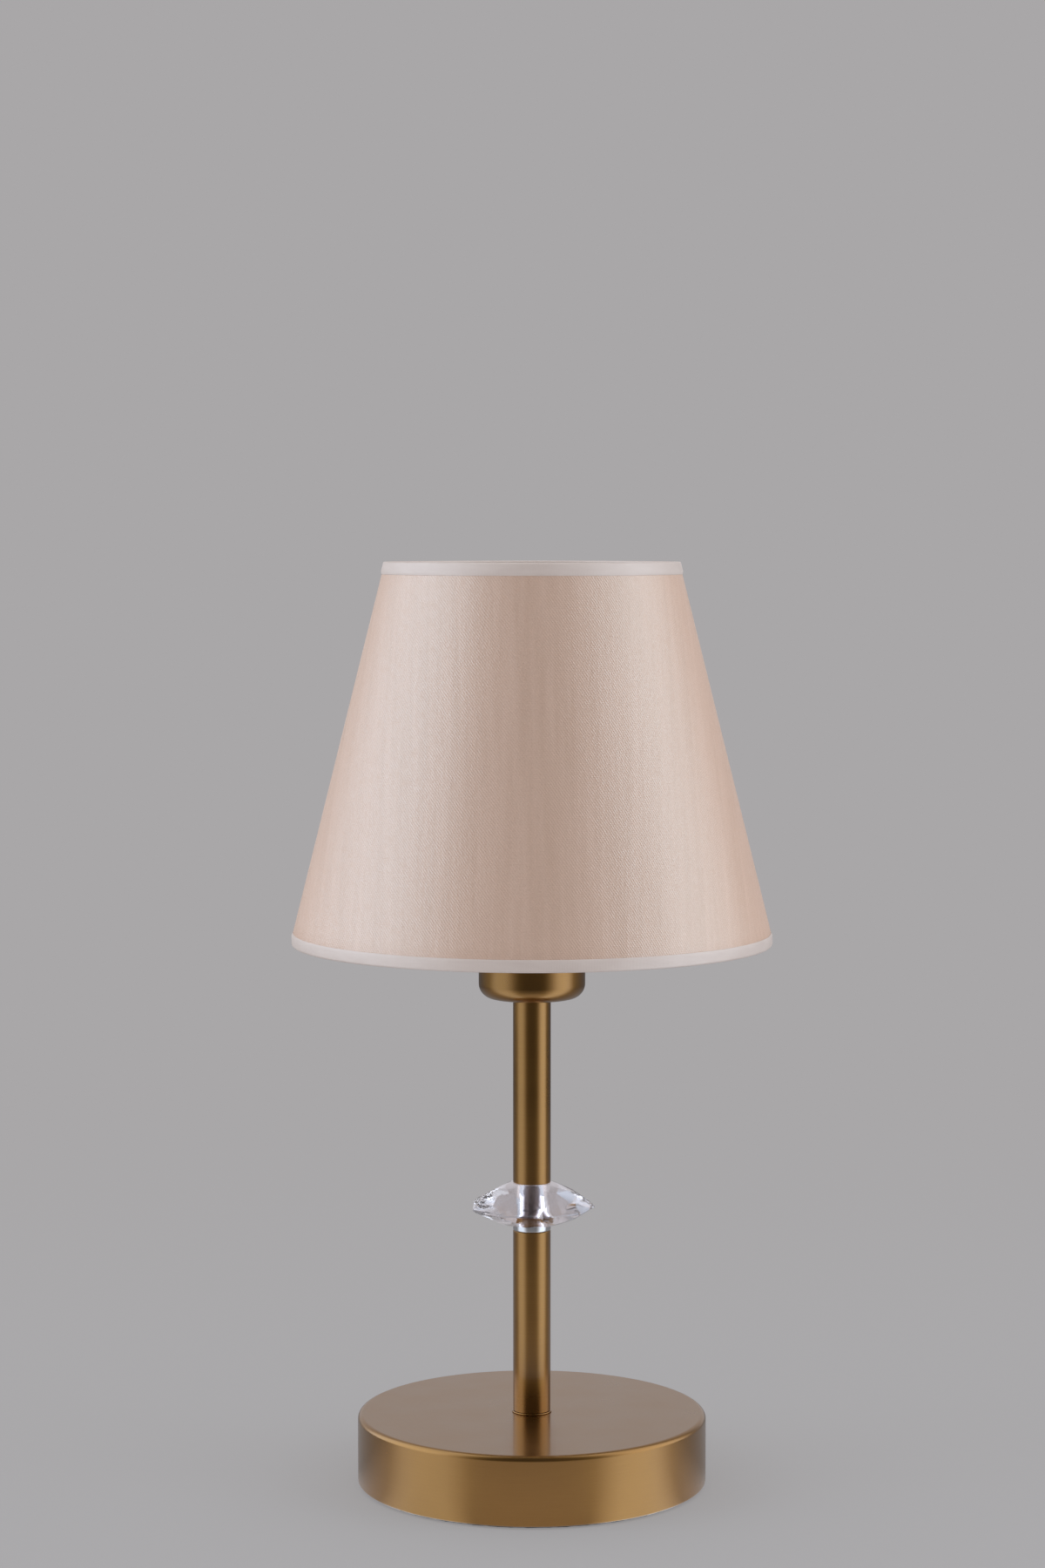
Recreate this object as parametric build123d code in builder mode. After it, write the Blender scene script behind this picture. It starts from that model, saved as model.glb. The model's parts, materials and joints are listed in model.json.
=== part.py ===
from build123d import *
import os
from math import atan2, cos, degrees, hypot, pi, radians, sin, tan

# A table lamp: a weighted drum base, a slim stem with a faceted bead, and a fabric shade
# that a threaded ring clamps to a screw lampholder. Millimetres, +Z up.
# The origin is the centre of the felt that the lamp stands on, and +Y is the back.

# Base
BASE_DIAMETER = 130.0
COVER_HEIGHT = 25.6
COVER_SHEET = 1.2
COVER_EDGE_RADIUS = 2.0
COVER_RIM_RADIUS = 0.5
FELT_THICKNESS = 2.0
FELT_PROUD = 0.7
PLATE_THICKNESS = 1.5
PLATE_CLEARANCE = 0.3
BALLAST_CLEARANCE = 4.0
BALLAST_CHAMFER = 1.5
NUT_SIDES = 6
NUT_ACROSS_FLATS = 14.0
NUT_HEIGHT = 4.5
LOCK_WASHER_WIDTH = 3.0
LOCK_WASHER_THICKNESS = 1.2
BASE_WASHER_WIDTH = 10.0
BASE_WASHER_THICKNESS = 2.0

# Cord grommet in the rear wall of the base
CORD_BORE = 6.6
GROMMET_WALL = 1.0
GROMMET_CLEARANCE = 0.1
GROMMET_FLANGE_WIDTH = 1.5
GROMMET_FLANGE_THICKNESS = 1.5
GROMMET_LIP_WIDTH = 0.4
GROMMET_LIP_THICKNESS = 1.5

# Stem
TUBE_DIAMETER = 14.0
TUBE_WALL = 1.0
LOWER_TUBE_LENGTH = 68.1
UPPER_TUBE_LENGTH = 69.1
BUSH_WALL = 0.75
BUSH_LENGTH = 8.0
BUSH_CLEARANCE = 0.05
ROD_WALL = 1.3
ROD_CLEARANCE = 0.2
ROD_END_GAP = 2.5
ROD_TAIL = 1.0
ROD_ENGAGEMENT = 5.0
THREAD_PLAY = 0.05
STEM_WASHER_OVERHANG = 0.4
STEM_WASHER_THICKNESS = 0.6
COLLAR_HEIGHT = 2.9
COLLAR_CHAMFER = 0.4

# Faceted bead
BEAD_DIAMETER = 46.6
BEAD_FACETS = 9
CROWN_HEIGHT = 8.8
PAVILION_HEIGHT = 5.6
GIRDLE_BAND = 0.6
CROWN_BREAK_SLOPE = 41.0
CROWN_BREAK_RISE = 1.6
TABLE_MARGIN = 1.2
STAR_RISE = 6.2
STAR_MARGIN = 0.7
PAVILION_BREAK_SLOPE = 34.0
PAVILION_BREAK_RISE = 1.0
SEAT_MARGIN = 3.8

# Lampholder and its metal cup
CUP_DIAMETER = 39.5
CUP_HEIGHT = 27.0
CUP_WALL = 1.0
CUP_CORNER_RADIUS = 5.5
HOLDER_CLEARANCE = 0.5
CAP_WALL = 2.0
CAP_FLOOR = 6.0
CAP_SHOULDER = 3.5
BLOCK_HEIGHT = 7.0
BLOCK_CLEARANCE = 0.1
SPIGOT_LENGTH = 2.0
SLEEVE_SKIRT = 3.0
SLEEVE_WALL = 4.2
SLEEVE_FLANGE_THICKNESS = 2.0
SLEEVE_RISE = 22.0
SHELL_SHEET = 0.5
SHELL_HEIGHT = 20.0
SHELL_CLEARANCE = 0.1
SHELL_FLOOR_WIDTH = 5.5
CONTACT_WIDTH = 5.0
CONTACT_SHEET = 0.5
CONTACT_RISE = 2.2
CONTACT_FOOT = 3.0
CONTACT_RAMP = 2.0
CONTACT_BEND_RADIUS = 0.6
TERMINAL_SPACING = 16.0
TERMINAL_SHANK_DIAMETER = 3.0
TERMINAL_SHANK_LENGTH = 5.0
TERMINAL_HEAD_DIAMETER = 5.5
TERMINAL_HEAD_HEIGHT = 2.0

# Shade ring
RING_CLEARANCE = 0.3
RING_COLLAR_WALL = 3.0
RING_HEIGHT = 8.0
RING_FLANGE_WIDTH = 6.5
RING_FLANGE_THICKNESS = 2.0
RING_RIBS = 24
RING_RIB_RADIUS = 0.8

# Shade frame
FITTER_PLAY = 1.75
FITTER_SEAT_WIDTH = 3.0
FITTER_WIDTH = 7.0
FITTER_THICKNESS = 1.2
FITTER_RECESS = 8.8
SEAT_GAP = 0.1
WIRE_DIAMETER = 2.5
WIRE_CLEARANCE = 0.1
ARM_COUNT = 3
ARM_FIRST_ANGLE = 60.0
ARM_DIAMETER = 3.0
ARM_END_RUN = 8.0
ARM_BEND_RADIUS = 20.0
ARM_CLEARANCE = 0.3
WELD_GAP = 0.05

# Shade cloth, liner and binding tape
SHADE_BOTTOM_DIAMETER = 177.8
SHADE_TOP_DIAMETER = 109.6
SHADE_HEIGHT = 141.1
FABRIC_THICKNESS = 0.4
LINER_THICKNESS = 0.5
GLUE_GAP = 0.05
TAPE_THICKNESS = 0.5
TAPE_HEIGHT = 4.6
SEAM_WIDTH = 10.0

# Bulb
BULB_DIAMETER = 45.0
BULB_LENGTH = 80.0
BULB_WALL = 1.2
BULB_CAP_LENGTH = 27.0
BULB_CAP_SHEET = 0.6
BULB_THREAD_CLEARANCE = 0.35
BULB_TIP_DIAMETER = 9.5
BULB_TIP_HEIGHT = 0.8
BULB_TIP_GAP = 0.1
INSULATOR_HEIGHT = 3.4
INSULATOR_SHOULDER = 1.5
HOUSING_NECK_DEPTH = 6.0
HOUSING_SHOULDER = 0.9
HOUSING_COLLAR = 2.5
HOUSING_HEIGHT = 19.0

# Heights in the base, from the felt up
RIM_Z = FELT_PROUD
BASE_TOP = RIM_Z + COVER_HEIGHT
COVER_UNDERSIDE = BASE_TOP - COVER_SHEET
PLATE_TOP = FELT_THICKNESS + PLATE_THICKNESS
ROD_BOTTOM = PLATE_TOP + ROD_END_GAP
NUT_BOTTOM = ROD_BOTTOM + ROD_TAIL
LOCK_WASHER_BOTTOM = NUT_BOTTOM + NUT_HEIGHT
BASE_WASHER_BOTTOM = LOCK_WASHER_BOTTOM + LOCK_WASHER_THICKNESS
BALLAST_BOTTOM = BASE_WASHER_BOTTOM + BASE_WASHER_THICKNESS
GROMMET_Z = (PLATE_TOP + BALLAST_BOTTOM) / 2

# Heights up the stem
LOWER_TUBE_BOTTOM = BASE_TOP + STEM_WASHER_THICKNESS
COLLAR_BOTTOM = LOWER_TUBE_BOTTOM + LOWER_TUBE_LENGTH
BEAD_BOTTOM = COLLAR_BOTTOM + COLLAR_HEIGHT
GIRDLE_BOTTOM = BEAD_BOTTOM + PAVILION_HEIGHT
GIRDLE_TOP = GIRDLE_BOTTOM + GIRDLE_BAND
BEAD_TOP = GIRDLE_TOP + CROWN_HEIGHT
CUP_BOTTOM = BEAD_TOP + UPPER_TUBE_LENGTH

# Heights in the lampholder
CAP_BOTTOM = CUP_BOTTOM + CUP_WALL
CUP_RIM = CUP_BOTTOM + CUP_HEIGHT
CAP_TOP = CUP_RIM - SLEEVE_SKIRT
BLOCK_TOP = CAP_TOP - SPIGOT_LENGTH
BLOCK_BOTTOM = BLOCK_TOP - BLOCK_HEIGHT
ROD_TOP = CAP_BOTTOM + ROD_ENGAGEMENT
FLANGE_TOP = CUP_RIM + SLEEVE_FLANGE_THICKNESS
SLEEVE_TOP = FLANGE_TOP + SLEEVE_RISE

# Heights on the shade
FITTER_BOTTOM = FLANGE_TOP + SEAT_GAP
RING_BOTTOM = FITTER_BOTTOM + FITTER_THICKNESS + SEAT_GAP
SHADE_BOTTOM = FITTER_BOTTOM - FITTER_RECESS
SHADE_TOP = SHADE_BOTTOM + SHADE_HEIGHT
PANEL_BOTTOM = SHADE_BOTTOM + TAPE_THICKNESS + GLUE_GAP
PANEL_TOP = SHADE_TOP - TAPE_THICKNESS - GLUE_GAP
HEM_TOP = SHADE_BOTTOM + TAPE_HEIGHT
BOTTOM_WIRE_Z = SHADE_BOTTOM + TAPE_THICKNESS + WIRE_CLEARANCE + WIRE_DIAMETER / 2
TOP_WIRE_Z = SHADE_TOP - TAPE_THICKNESS - WIRE_CLEARANCE - WIRE_DIAMETER / 2

# Heights on the bulb
TIP_BOTTOM = BLOCK_TOP + CONTACT_RISE + BULB_TIP_GAP
INSULATOR_BOTTOM = TIP_BOTTOM + BULB_TIP_HEIGHT
BULB_CAP_BOTTOM = INSULATOR_BOTTOM + INSULATOR_HEIGHT
BULB_CAP_TOP = TIP_BOTTOM + BULB_CAP_LENGTH
DOME_BOTTOM = BULB_CAP_TOP + HOUSING_HEIGHT
BULB_TOP = TIP_BOTTOM + BULB_LENGTH

# Radii in the base and the stem
COVER_RADIUS = BASE_DIAMETER / 2
COVER_INSIDE_RADIUS = COVER_RADIUS - COVER_SHEET
PLATE_RADIUS = COVER_INSIDE_RADIUS - PLATE_CLEARANCE
BALLAST_RADIUS = COVER_INSIDE_RADIUS - BALLAST_CLEARANCE
TUBE_RADIUS = TUBE_DIAMETER / 2
BUSH_RADIUS = TUBE_RADIUS - TUBE_WALL - BUSH_CLEARANCE
ROD_HOLE_RADIUS = BUSH_RADIUS - BUSH_WALL
ROD_RADIUS = ROD_HOLE_RADIUS - ROD_CLEARANCE
THREADED_HOLE_RADIUS = ROD_RADIUS + THREAD_PLAY
GROMMET_NECK_RADIUS = CORD_BORE / 2 + GROMMET_WALL
GROMMET_HOLE_RADIUS = GROMMET_NECK_RADIUS + GROMMET_CLEARANCE
GROMMET_FLANGE_RADIUS = GROMMET_HOLE_RADIUS + GROMMET_FLANGE_WIDTH
GROMMET_LIP_RADIUS = GROMMET_HOLE_RADIUS + GROMMET_LIP_WIDTH

# Radii in the lampholder and its ring
SLEEVE_RADIUS = CUP_DIAMETER / 2 - CUP_WALL - HOLDER_CLEARANCE
SLEEVE_BORE_RADIUS = SLEEVE_RADIUS - SLEEVE_WALL
BLOCK_SEAT_RADIUS = SLEEVE_RADIUS - CAP_WALL
BLOCK_RADIUS = BLOCK_SEAT_RADIUS - BLOCK_CLEARANCE
CHAMBER_RADIUS = BLOCK_SEAT_RADIUS - CAP_SHOULDER
SHELL_RADIUS = SLEEVE_BORE_RADIUS - SHELL_CLEARANCE
SHELL_BORE_RADIUS = SHELL_RADIUS - SHELL_SHEET
RING_BORE_RADIUS = SLEEVE_RADIUS + RING_CLEARANCE
FITTER_BORE_RADIUS = SLEEVE_RADIUS + FITTER_PLAY
FITTER_RADIUS = FITTER_BORE_RADIUS + FITTER_WIDTH
FLANGE_RADIUS = FITTER_BORE_RADIUS + FITTER_SEAT_WIDTH

# Radii on the shade: the panel stands upright in the hem, then leans in to the top
HEM_RADIUS = SHADE_BOTTOM_DIAMETER / 2 - TAPE_THICKNESS - GLUE_GAP
PANEL_TOP_RADIUS = SHADE_TOP_DIAMETER / 2 - TAPE_THICKNESS - GLUE_GAP
PANEL_LEAN = (HEM_RADIUS - PANEL_TOP_RADIUS) / (PANEL_TOP - HEM_TOP)
LEAN_FACTOR = hypot(1, PANEL_LEAN)
PANEL_THICKNESS = FABRIC_THICKNESS + GLUE_GAP + LINER_THICKNESS
WIRE_REACH = WIRE_DIAMETER / 2 + WIRE_CLEARANCE
BOTTOM_WIRE_RADIUS = HEM_RADIUS - PANEL_THICKNESS - WIRE_REACH
TOP_WIRE_RADIUS = (
    PANEL_TOP_RADIUS + (PANEL_TOP - TOP_WIRE_Z) * PANEL_LEAN - PANEL_THICKNESS - WIRE_REACH * LEAN_FACTOR
)
ARM_START_RADIUS = FITTER_RADIUS + WELD_GAP
ARM_END_RADIUS = BOTTOM_WIRE_RADIUS - WIRE_DIAMETER / 2 - WELD_GAP

# Radii on the bulb
BULB_RADIUS = BULB_DIAMETER / 2
BULB_CAP_RADIUS = SHELL_BORE_RADIUS - BULB_THREAD_CLEARANCE
BULB_CAP_BORE_RADIUS = BULB_CAP_RADIUS - BULB_CAP_SHEET
NECK_RADIUS = BULB_CAP_BORE_RADIUS - THREAD_PLAY
DOME_CENTRE = BULB_TOP - BULB_RADIUS


def ring(radius, bore_radius, bottom, height):
    """A flat or tall ring about the lamp's axis."""
    with BuildPart() as piece:
        with BuildSketch(Plane.XY.offset(bottom)):
            Circle(radius)
            Circle(bore_radius, mode=Mode.SUBTRACT)
        extrude(amount=height)
    return piece


def disc(radius, bottom, height):
    """A plain disc about the lamp's axis."""
    with BuildPart() as piece:
        with BuildSketch(Plane.XY.offset(bottom)):
            Circle(radius)
        extrude(amount=height)
    return piece


# Base cover: a spun drum, open below, with the rod's hole on top and the cord's hole at the back
with BuildPart() as base_cover:
    with BuildSketch(Plane.XY.offset(RIM_Z)):
        Circle(COVER_RADIUS)
    extrude(amount=COVER_HEIGHT)
    fillet(base_cover.faces().sort_by(Axis.Z)[-1].edges(), COVER_EDGE_RADIUS)
    offset(amount=-COVER_SHEET, openings=base_cover.faces().sort_by(Axis.Z)[0])
    rim_edges = base_cover.edges().filter_by(GeomType.CIRCLE).group_by(Axis.Z)[0]
    fillet(rim_edges.sort_by(SortBy.RADIUS)[-1], COVER_RIM_RADIUS)
    with BuildSketch(Plane.XY.offset(BASE_TOP)):
        Circle(ROD_HOLE_RADIUS)
    extrude(amount=-2 * COVER_SHEET, mode=Mode.SUBTRACT)
    with BuildSketch(Plane(origin=(0, COVER_RADIUS, GROMMET_Z), x_dir=(1, 0, 0), z_dir=(0, 1, 0))):
        Circle(GROMMET_HOLE_RADIUS)
    extrude(amount=2 * COVER_SHEET, both=True, mode=Mode.SUBTRACT)

# Ballast: a cast disc under the cover's top
with BuildPart() as ballast:
    with BuildSketch(Plane.XY.offset(BALLAST_BOTTOM)):
        Circle(BALLAST_RADIUS)
        Circle(ROD_HOLE_RADIUS, mode=Mode.SUBTRACT)
    extrude(amount=COVER_UNDERSIDE - BALLAST_BOTTOM)
    rims = ballast.edges().filter_by(GeomType.CIRCLE).group_by(SortBy.RADIUS)[-1]
    chamfer(rims, BALLAST_CHAMFER)

# Fixings under the ballast, and the closing plate with its felt
base_washer_radius = ROD_HOLE_RADIUS + BASE_WASHER_WIDTH
lock_washer_radius = ROD_HOLE_RADIUS + LOCK_WASHER_WIDTH
base_washer = ring(base_washer_radius, ROD_HOLE_RADIUS, BASE_WASHER_BOTTOM, BASE_WASHER_THICKNESS)
lock_washer = ring(lock_washer_radius, ROD_HOLE_RADIUS, LOCK_WASHER_BOTTOM, LOCK_WASHER_THICKNESS)
base_plate = disc(PLATE_RADIUS, FELT_THICKNESS, PLATE_THICKNESS)
felt_pad = disc(PLATE_RADIUS, 0, FELT_THICKNESS)

with BuildPart() as base_nut:
    with BuildSketch(Plane.XY.offset(NUT_BOTTOM)):
        RegularPolygon(NUT_ACROSS_FLATS / 2, NUT_SIDES, major_radius=False)
        Circle(THREADED_HOLE_RADIUS, mode=Mode.SUBTRACT)
    extrude(amount=NUT_HEIGHT)

# Cord grommet: a flanged bush through the rear wall, held by a lip inside
wall_inside = (COVER_INSIDE_RADIUS**2 - GROMMET_LIP_RADIUS**2) ** 0.5 - GROMMET_CLEARANCE
flange_inside = COVER_RADIUS + GROMMET_CLEARANCE
with BuildPart() as cord_grommet:
    with BuildSketch(Plane.YZ):
        with BuildLine():
            Polyline(
                (wall_inside - GROMMET_LIP_THICKNESS, GROMMET_Z + CORD_BORE / 2),
                (flange_inside + GROMMET_FLANGE_THICKNESS, GROMMET_Z + CORD_BORE / 2),
                (flange_inside + GROMMET_FLANGE_THICKNESS, GROMMET_Z + GROMMET_FLANGE_RADIUS),
                (flange_inside, GROMMET_Z + GROMMET_FLANGE_RADIUS),
                (flange_inside, GROMMET_Z + GROMMET_NECK_RADIUS),
                (wall_inside, GROMMET_Z + GROMMET_NECK_RADIUS),
                (wall_inside, GROMMET_Z + GROMMET_LIP_RADIUS),
                (wall_inside - GROMMET_LIP_THICKNESS, GROMMET_Z + GROMMET_LIP_RADIUS),
                close=True,
            )
        make_face()
    revolve(axis=Axis((0, 0, GROMMET_Z), (0, 1, 0)))

# Stem: the hollow threaded rod that clamps everything, and the pieces threaded over it
tie_rod = ring(ROD_RADIUS, ROD_RADIUS - ROD_WALL, ROD_BOTTOM, ROD_TOP - ROD_BOTTOM)
stem_washer = ring(TUBE_RADIUS + STEM_WASHER_OVERHANG, ROD_HOLE_RADIUS, BASE_TOP, STEM_WASHER_THICKNESS)
lower_tube = ring(TUBE_RADIUS, TUBE_RADIUS - TUBE_WALL, LOWER_TUBE_BOTTOM, LOWER_TUBE_LENGTH)
upper_tube = ring(TUBE_RADIUS, TUBE_RADIUS - TUBE_WALL, BEAD_TOP, UPPER_TUBE_LENGTH)

# One centring bush in each end of the two tubes
with BuildPart() as centring_bushes:
    for bush_bottom in (
        LOWER_TUBE_BOTTOM,
        COLLAR_BOTTOM - BUSH_LENGTH,
        BEAD_TOP,
        CUP_BOTTOM - BUSH_LENGTH,
    ):
        with BuildSketch(Plane.XY.offset(bush_bottom)):
            Circle(BUSH_RADIUS)
            Circle(ROD_HOLE_RADIUS, mode=Mode.SUBTRACT)
        extrude(amount=BUSH_LENGTH)

with BuildPart() as bead_collar:
    with BuildSketch(Plane.XY.offset(COLLAR_BOTTOM)):
        Circle(TUBE_RADIUS)
        Circle(ROD_HOLE_RADIUS, mode=Mode.SUBTRACT)
    extrude(amount=COLLAR_HEIGHT)
    chamfer(bead_collar.edges().filter_by(GeomType.CIRCLE).group_by(SortBy.RADIUS)[-1], COLLAR_CHAMFER)

# Faceted bead. On each side of the girdle a row of break facets stands on the girdle's flats, and a
# row of kites runs from the girdle's corners to the flat that the stem bears on. A row of stars cuts
# the ridges between the upper kites.
half_facet = pi / BEAD_FACETS
girdle_flat = BEAD_DIAMETER / 2 * cos(half_facet)


def cut_facets(side, reach, height, slope, turn):
    """Cut one row of facets, above the girdle for side 1 and below it for side -1."""
    for index in range(BEAD_FACETS):
        azimuth = turn + 2 * half_facet * index
        outward = Vector(cos(azimuth), sin(azimuth), 0)
        facet = Plane(
            origin=outward * reach + Vector(0, 0, height),
            z_dir=outward * sin(slope) + Vector(0, 0, side * cos(slope)),
        )
        split(bisect_by=facet, keep=Keep.BOTTOM)


def cut_kites_and_breaks(side, girdle, height, break_slope, break_rise, seat_margin):
    """Cut the two main rows of one side of the bead, and give the reach and slope of its kites."""
    cut_facets(side, girdle_flat, girdle, radians(break_slope), half_facet)
    kite_reach = (girdle_flat - break_rise / tan(radians(break_slope))) / cos(half_facet)
    kite_slope = atan2(height - break_rise, kite_reach - TUBE_RADIUS - seat_margin)
    cut_facets(side, kite_reach, girdle + side * break_rise, kite_slope, 0)
    return kite_reach, kite_slope


with BuildPart() as bead:
    with BuildSketch(Plane.XY.offset(BEAD_BOTTOM)):
        RegularPolygon(BEAD_DIAMETER / 2, BEAD_FACETS)
    extrude(amount=BEAD_TOP - BEAD_BOTTOM)
    cut_kites_and_breaks(
        -1, GIRDLE_BOTTOM, PAVILION_HEIGHT, PAVILION_BREAK_SLOPE, PAVILION_BREAK_RISE, SEAT_MARGIN
    )
    crown_reach, crown_slope = cut_kites_and_breaks(
        1, GIRDLE_TOP, CROWN_HEIGHT, CROWN_BREAK_SLOPE, CROWN_BREAK_RISE, TABLE_MARGIN
    )
    ridge_reach = (crown_reach - (STAR_RISE - CROWN_BREAK_RISE) / tan(crown_slope)) / cos(half_facet)
    star_slope = atan2(CROWN_HEIGHT - STAR_RISE, ridge_reach - TUBE_RADIUS - STAR_MARGIN)
    cut_facets(1, ridge_reach, GIRDLE_TOP + STAR_RISE, star_slope, half_facet)
    with BuildSketch(Plane.XY.offset(BEAD_BOTTOM)):
        Circle(ROD_HOLE_RADIUS)
    extrude(amount=BEAD_TOP - BEAD_BOTTOM, mode=Mode.SUBTRACT)

# Lampholder cup: spun metal, open at the top
with BuildPart() as holder_cup:
    with BuildSketch(Plane.XY.offset(CUP_BOTTOM)):
        Circle(CUP_DIAMETER / 2)
    extrude(amount=CUP_HEIGHT)
    fillet(holder_cup.faces().sort_by(Axis.Z)[0].edges(), CUP_CORNER_RADIUS)
    offset(amount=-CUP_WALL, openings=holder_cup.faces().sort_by(Axis.Z)[-1])
    with BuildSketch(Plane.XY.offset(CUP_BOTTOM)):
        Circle(ROD_HOLE_RADIUS)
    extrude(amount=2 * CUP_WALL, mode=Mode.SUBTRACT)

# Lampholder cap: screwed on the rod, with a shoulder for the contact block
with BuildPart() as holder_cap:
    with BuildSketch(Plane.XY.offset(CAP_BOTTOM)):
        Circle(SLEEVE_RADIUS)
    extrude(amount=CAP_TOP - CAP_BOTTOM)
    fillet(holder_cap.faces().sort_by(Axis.Z)[0].edges(), CUP_CORNER_RADIUS - CUP_WALL)
    with BuildSketch(Plane.XY.offset(BLOCK_BOTTOM)):
        Circle(BLOCK_SEAT_RADIUS)
    extrude(amount=CAP_TOP - BLOCK_BOTTOM, mode=Mode.SUBTRACT)
    with BuildSketch(Plane.XY.offset(CAP_BOTTOM + CAP_FLOOR)):
        Circle(CHAMBER_RADIUS)
    extrude(amount=BLOCK_BOTTOM - CAP_BOTTOM - CAP_FLOOR, mode=Mode.SUBTRACT)
    with BuildSketch(Plane.XY.offset(CAP_BOTTOM)):
        Circle(THREADED_HOLE_RADIUS)
    extrude(amount=CAP_FLOOR, mode=Mode.SUBTRACT)

# Contact block with its terminal screws, whose heads stand in the wiring chamber below
with BuildPart() as contact_block:
    with BuildSketch(Plane.XY.offset(BLOCK_BOTTOM)):
        Circle(BLOCK_RADIUS)
        with GridLocations(TERMINAL_SPACING, 0, 2, 1):
            Circle(TERMINAL_SHANK_DIAMETER / 2 + THREAD_PLAY, mode=Mode.SUBTRACT)
    extrude(amount=BLOCK_HEIGHT)

with BuildPart() as terminal_screws:
    with BuildSketch(Plane.XY.offset(BLOCK_BOTTOM)):
        with GridLocations(TERMINAL_SPACING, 0, 2, 1):
            Circle(TERMINAL_HEAD_DIAMETER / 2)
    extrude(amount=-TERMINAL_HEAD_HEIGHT)
    with BuildSketch(Plane.XY.offset(BLOCK_BOTTOM)):
        with GridLocations(TERMINAL_SPACING, 0, 2, 1):
            Circle(TERMINAL_SHANK_DIAMETER / 2)
    extrude(amount=TERMINAL_SHANK_LENGTH)

# Centre contact: a bent strip whose raised end meets the bulb's tip
strip_low = BLOCK_TOP + CONTACT_SHEET / 2
strip_high = BLOCK_TOP + CONTACT_RISE - CONTACT_SHEET / 2
with BuildPart() as centre_contact:
    with BuildSketch(Plane.XZ):
        with BuildLine():
            FilletPolyline(
                (-CONTACT_WIDTH / 2 - CONTACT_RAMP - CONTACT_FOOT, strip_low),
                (-CONTACT_WIDTH / 2 - CONTACT_RAMP, strip_low),
                (-CONTACT_WIDTH / 2, strip_high),
                (CONTACT_WIDTH / 2, strip_high),
                radius=CONTACT_BEND_RADIUS,
            )
        trace(line_width=CONTACT_SHEET)
    extrude(amount=CONTACT_WIDTH / 2, both=True)

# Screw shell: a thin cup with an open floor, on the contact block
with BuildPart() as screw_shell:
    with BuildSketch(Plane.XZ):
        with BuildLine():
            Polyline(
                (SHELL_BORE_RADIUS - SHELL_FLOOR_WIDTH, BLOCK_TOP),
                (SHELL_RADIUS, BLOCK_TOP),
                (SHELL_RADIUS, BLOCK_TOP + SHELL_HEIGHT),
                (SHELL_BORE_RADIUS, BLOCK_TOP + SHELL_HEIGHT),
                (SHELL_BORE_RADIUS, BLOCK_TOP + SHELL_SHEET),
                (SHELL_BORE_RADIUS - SHELL_FLOOR_WIDTH, BLOCK_TOP + SHELL_SHEET),
                close=True,
            )
        make_face()
    revolve(axis=Axis.Z)

# Lampholder sleeve: its spigot holds the block down, its flange covers the cup's rim
with BuildPart() as holder_sleeve:
    with BuildSketch(Plane.XZ):
        with BuildLine():
            Polyline(
                (SLEEVE_BORE_RADIUS, BLOCK_TOP),
                (BLOCK_RADIUS, BLOCK_TOP),
                (BLOCK_RADIUS, CAP_TOP),
                (SLEEVE_RADIUS, CAP_TOP),
                (SLEEVE_RADIUS, CUP_RIM),
                (FLANGE_RADIUS, CUP_RIM),
                (FLANGE_RADIUS, FLANGE_TOP),
                (SLEEVE_RADIUS, FLANGE_TOP),
                (SLEEVE_RADIUS, SLEEVE_TOP),
                (SLEEVE_BORE_RADIUS, SLEEVE_TOP),
                close=True,
            )
        make_face()
    revolve(axis=Axis.Z)

# Shade ring: runs on the sleeve's thread and clamps the shade's fitter to the flange
ring_collar_radius = RING_BORE_RADIUS + RING_COLLAR_WALL
with BuildPart() as shade_ring:
    with BuildSketch(Plane.XY.offset(RING_BOTTOM)):
        Circle(RING_BORE_RADIUS + RING_FLANGE_WIDTH)
    extrude(amount=RING_FLANGE_THICKNESS)
    with BuildSketch(Plane.XY.offset(RING_BOTTOM)):
        Circle(ring_collar_radius)
        with PolarLocations(ring_collar_radius, RING_RIBS):
            Circle(RING_RIB_RADIUS)
    extrude(amount=RING_HEIGHT)
    with BuildSketch(Plane.XY.offset(RING_BOTTOM)):
        Circle(RING_BORE_RADIUS)
    extrude(amount=RING_HEIGHT, mode=Mode.SUBTRACT)

# Shade frame: fitter, bent arms, and the wire hoops in both edges
fitter_ring = ring(FITTER_RADIUS, FITTER_BORE_RADIUS, FITTER_BOTTOM, FITTER_THICKNESS)

arm_start_z = FITTER_BOTTOM + FITTER_THICKNESS / 2
with BuildPart() as fitter_arm:
    with BuildLine(Plane.XZ) as arm_path:
        FilletPolyline(
            (ARM_START_RADIUS, arm_start_z),
            (ARM_START_RADIUS + ARM_END_RUN, arm_start_z),
            (ARM_END_RADIUS - ARM_END_RUN, BOTTOM_WIRE_Z),
            (ARM_END_RADIUS, BOTTOM_WIRE_Z),
            radius=ARM_BEND_RADIUS,
        )
    with BuildSketch(Plane(origin=arm_path.line @ 0, z_dir=arm_path.line % 0)):
        Circle(ARM_DIAMETER / 2)
    sweep(path=arm_path.line)

with BuildPart() as fitter_arms:
    with PolarLocations(0, ARM_COUNT, start_angle=ARM_FIRST_ANGLE):
        add(fitter_arm.part)

with BuildPart(Plane.XY.offset(BOTTOM_WIRE_Z)) as bottom_wire:
    Torus(BOTTOM_WIRE_RADIUS, WIRE_DIAMETER / 2)

with BuildPart(Plane.XY.offset(TOP_WIRE_Z)) as top_wire:
    Torus(TOP_WIRE_RADIUS, WIRE_DIAMETER / 2)


def panel_radius(height, depth):
    """Radius of the shade panel at a height, a depth in from the cloth's face."""
    return HEM_RADIUS - max(0, height - HEM_TOP) * PANEL_LEAN - depth


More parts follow.
